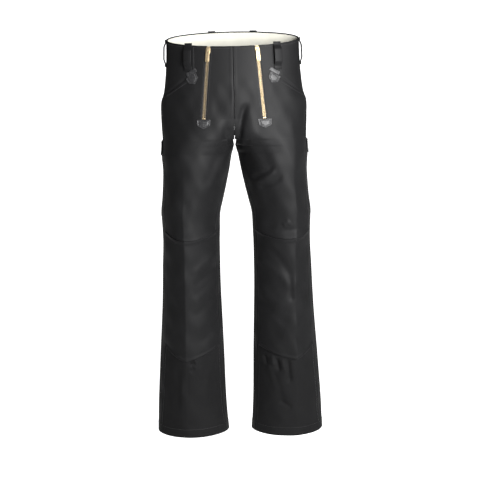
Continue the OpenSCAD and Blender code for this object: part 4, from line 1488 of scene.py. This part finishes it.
class TROUSERS_OT_hips(PieceOperator, bpy.types.Operator):
    """Hip panels behind the slash pockets"""

    bl_idname = "trousers.hips"
    bl_label = "Hip Panels"

    def execute(self, context):
        for word, side in SIDES_OF:
            node = f"hip_panel_{word}"
            add_sheet(f"hip_{word}", build_hip(side), "trousers", "cloth", "cloth", "hung", node)
        return {"FINISHED"}


class TROUSERS_OT_knees(PieceOperator, bpy.types.Operator):
    """Knee panels, sewn over the fronts"""

    bl_idname = "trousers.knees"
    bl_label = "Knee Panels"

    def execute(self, context):
        for word, side in SIDES_OF:
            node = f"knee_panel_{word}"
            add_sheet(f"knee_{word}", build_knee(side), "trousers", "cloth", "cloth", "hung", node)
        return {"FINISHED"}


class TROUSERS_OT_linings(PieceOperator, bpy.types.Operator):
    """Waist lining, pocket bags and hem facings"""

    bl_idname = "trousers.linings"
    bl_label = "Linings"

    def execute(self, context):
        add_sheet("waist_band_lining", build_lining(), "trousers", "lining", "lining", "hung", "waist_lining")
        for word, side in SIDES_OF:
            add_sheet(f"bag_{word}", build_bag(side), "trousers", "lining", "lining", "hung",
                      f"pocket_bag_{word}")
            add_sheet(f"hem_{word}", build_hem(side), "trousers", "cloth", "cloth", "hung",
                      f"hem_facing_{word}")
        return {"FINISHED"}


class TROUSERS_OT_pockets(PieceOperator, bpy.types.Operator):
    """Ruler pockets and seat pockets"""

    bl_idname = "trousers.pockets"
    bl_label = "Patch Pockets"

    def execute(self, context):
        for word, side in SIDES_OF:
            for kind, build in (("ruler", build_ruler), ("seat", build_seat_pocket)):
                add_sheet(f"{kind}_patch_pocket_{word}", build(side), "trousers", "cloth", "cloth", "hung",
                          f"{kind}_pocket_{word}")
        return {"FINISHED"}


class TROUSERS_OT_loops(PieceOperator, bpy.types.Operator):
    """Six belt loops"""

    bl_idname = "trousers.loops"
    bl_label = "Belt Loops"

    def execute(self, context):
        for word, side in SIDES_OF:
            for where, angle, above, foot in LOOPS:
                grids = build_loop(side, angle, above, foot)
                name = f"{where}_belt_loop_{word}"
                add_sheet(name, grids, "trousers", "cloth", "cloth", "stretched", f"{where}_loop_{word}")
        return {"FINISHED"}


class TROUSERS_OT_zips(PieceOperator, bpy.types.Operator):
    """Zip tapes, teeth and stops"""

    bl_idname = "trousers.zips"
    bl_label = "Zips"

    def execute(self, context):
        shape = tooth_shape()
        top = ZIP_LENGTH - 0.0004
        for word, side in SIDES_OF:
            add_sheet(f"tape_{word}", build_tape(side, False, -0.01, top), "trousers", "zip_tape", "zip_tape",
                      "stretched", f"zip_tape_{word}")
            nodes = [f"flap_tape_{word}"] + (["foot_tapes"] if side == LEFT else [])
            add_sheet(f"flap_side_tape_{word}", build_tape(side, True, -0.01, top), fold_blend(ZIP_BEND),
                      "zip_tape", "zip_tape", "stretched", *nodes)
            brass = finish_for("brass")
            o = build_teeth(f"teeth_{word}", side, False, FIRST_TOOTH, LAST_TOOTH, shape)
            dress(o, "trousers", brass, "brass", f"zip_teeth_{word}")
            o = build_teeth(f"flap_side_teeth_{word}", side, True, FIRST_TOOTH, LAST_TOOTH, shape)
            nodes = [f"flap_teeth_{word}"] + (["foot_teeth"] if side == LEFT else [])
            dress(o, fold_blend(ZIP_BEND), brass, "brass", *nodes)
            o = build_stop(f"foot_stop_{word}", side, 0.0006, 0.004, 0.0046)
            dress(o, "trousers", brass, "brass", f"bottom_stop_{word}")
            o = build_stop(f"top_stop_{word}", side, ZIP_LENGTH - 0.0034, 0.003, 0.0018, 0.0025)
            dress(o, "trousers", brass, "brass", *(["top_stops"] if side == LEFT else []))
            o = build_stop(f"flap_top_stop_{word}", side, ZIP_LENGTH - 0.0034, 0.003, 0.0018, -0.0025)
            dress(o, "flap", brass, "brass", *(["flap_stops"] if side == LEFT else []))
        return {"FINISHED"}


class TROUSERS_OT_sliders(PieceOperator, bpy.types.Operator):
    """Sliders and their pull tabs"""

    bl_idname = "trousers.sliders"
    bl_label = "Sliders and Pulls"

    def execute(self, context):
        brass = finish_for("brass")
        for word, side in SIDES_OF:
            dress(build_slider(side), f"slider_{word}", brass, "brass", f"slider_{word}")
            dress(build_pull(side), f"pull_{word}", brass, "brass", f"pull_{word}")
        return {"FINISHED"}


class TROUSERS_OT_leather(PieceOperator, bpy.types.Operator):
    """Moulded leather pieces at the zips' feet and the pockets' corners"""

    bl_idname = "trousers.leather"
    bl_label = "Leather Pieces"

    def execute(self, context):
        finish = finish_for("leather")
        corner = -float(angle_at(SLASH_X, SLASH_TOP))
        kinds = (
            ("zip_end", -float(angle_at(ZIP_FOOT_X, ZIP_FOOT)), ZIP_FOOT, pentagon(0.039, 0.0265), 0,
             BORDERED, 0.0002, ZIP_FOOT_X, "zip_end_patch"),
            ("pocket_shield", corner, SLASH_TOP - 0.006, pentagon(0.034, 0.027), 28, BORDERED, 0.0004,
             SLASH_X, "pocket_patch"),
            ("pocket_strip", corner, SLASH_TOP + 0.0065, oblong(0.033, 0.0105), 28, PLAIN, 0.0004,
             SLASH_X, "pocket_bar"),
            ("ruler_corner", 2.0, RULER_TOP - 0.003, oblong(0.036, 0.04, 0.005), 0, PLAIN, 0.003,
             None, "ruler_patch"),
        )
        for word, side in SIDES_OF:
            for name, angle, h, outline, turn, profile, base, x, node in kinds:
                o = build_patch(f"{name}_{word}", side, angle, h, outline, turn, profile, base, x)
                dress(o, "trousers", finish, "leather", f"{node}_{word}", smooth=50)
        return {"FINISHED"}


class TROUSERS_OT_stitching(PieceOperator, bpy.types.Operator):
    """Topstitching along the seams, hems, pockets and zips"""

    bl_idname = "trousers.stitching"
    bl_label = "Stitching"

    def execute(self, context):
        finish = finish_for("thread")
        for word, side in SIDES_OF:
            dress(sew(f"stitches_{word}", stitch_lines(side)), "trousers", finish, "cloth", smooth=60)
        dress(sew("flap_stitches", flap_lines()), fold_blend(), finish, "cloth", smooth=60)
        return {"FINISHED"}


def aimed(o, place, target):
    o.location = place
    o.rotation_mode = "QUATERNION"
    o.rotation_quaternion = (Vector(target) - Vector(place)).to_track_quat("-Z", "Y")


def lamp(name, power, place, target, width, height):
    light = bpy.data.lights.new(name, "AREA")
    light.shape, light.size, light.size_y, light.energy = "RECTANGLE", width, height, power
    o = bpy.data.objects.new(name, light)
    bpy.context.scene.collection.objects.link(o)
    aimed(o, place, target)


def studio_floor(z, wall_y, bend):
    """A floor that turns up smoothly into a wall behind."""
    turn = np.linspace(0, math.pi / 2, 25)
    y = np.concatenate([[-9.0], wall_y - bend + bend * np.sin(turn), [wall_y]])
    height = np.concatenate([[0.0], bend - bend * np.cos(turn), [7.0]]) + z
    grid = np.stack(np.broadcast_arrays(np.array([-9.0, 9.0])[None, :], y[:, None], height[:, None]), -1)
    faces = [(2 * i, 2 * i + 1, 2 * i + 3, 2 * i + 2) for i in range(len(y) - 1)]
    return new_object("floor", grid.reshape(-1, 3), faces)


class TROUSERS_OT_studio(PieceOperator, bpy.types.Operator):
    """Floor, surroundings, lights and camera"""

    bl_idname = "trousers.studio"
    bl_label = "Studio"

    def execute(self, context):
        s = context.scene.studio_sizes
        scene = context.scene
        scene.view_settings.view_transform = "Standard"
        scene.world = bpy.data.worlds.new("white_surroundings")
        scene.world.use_nodes = True
        sky = scene.world.node_tree.nodes["Background"]
        sky.inputs["Color"].default_value = (1, 1, 1, 1)
        sky.inputs["Strength"].default_value = s.sky
        floor = studio_floor(-LENGTH - 0.28, 6.0, 1.5)
        floor.data.materials.append(finish_for("floor"))
        lamp("key_light", s.key, (0.72, -1.4, s.key_height), (0.03, 0, -0.4), 0.7, 0.7)
        lamp("fill_light", s.fill, (-1.3, -2.6, 0.2), (0, 0, -0.5), 1.2, 1.6)
        data = bpy.data.cameras.new("camera")
        data.lens, data.sensor_width, data.clip_end = s.lens, 36.0, 60.0
        camera = bpy.data.objects.new("camera", data)
        scene.collection.objects.link(camera)
        scene.camera = camera
        look = Matrix.Rotation(s.turn, 4, "Z") @ Matrix.Rotation(math.pi / 2 - s.pitch, 4, "X")
        look = look @ Matrix.Rotation(s.roll, 4, "Z")
        camera.matrix_world = Matrix.Translation((s.shift_x, -s.distance, s.height - LENGTH)) @ look
        return {"FINISHED"}


class TROUSERS_PT_panel(bpy.types.Panel):
    """Sizes, colours and the steps in order"""

    bl_idname = "TROUSERS_PT_panel"
    bl_label = "Work Trousers"
    bl_space_type = "VIEW_3D"
    bl_region_type = "UI"
    bl_category = "Trousers"

    def draw(self, context):
        layout = self.layout
        for group in ("trouser_sizes", "trouser_colours", "studio_sizes"):
            props = getattr(context.scene, group)
            box = layout.box()
            for key in type(props).__annotations__:
                box.prop(props, key)
        for step in STEPS:
            layout.operator(step.bl_idname)


STEPS = (TROUSERS_OT_studio, TROUSERS_OT_fronts, TROUSERS_OT_flap, TROUSERS_OT_backs, TROUSERS_OT_hips,
         TROUSERS_OT_knees, TROUSERS_OT_linings, TROUSERS_OT_pockets, TROUSERS_OT_loops, TROUSERS_OT_zips,
         TROUSERS_OT_sliders, TROUSERS_OT_leather, TROUSERS_OT_stitching)
GROUPS = (("trouser_sizes", TrouserSizes), ("trouser_colours", TrouserColours), ("studio_sizes", StudioSizes))


def register():
    for name, group in GROUPS:
        bpy.utils.register_class(group)
        setattr(bpy.types.Scene, name, PointerProperty(type=group))
    for item in (*STEPS, TROUSERS_PT_panel):
        bpy.utils.register_class(item)


def unregister():
    for item in reversed((*STEPS, TROUSERS_PT_panel)):
        bpy.utils.unregister_class(item)
    for name, group in reversed(GROUPS):
        delattr(bpy.types.Scene, name)
        bpy.utils.unregister_class(group)


def main():
    register()
    for step in STEPS:
        family, name = step.bl_idname.split(".")
        getattr(getattr(bpy.ops, family), name)()


if __name__ == "__main__":
    main()
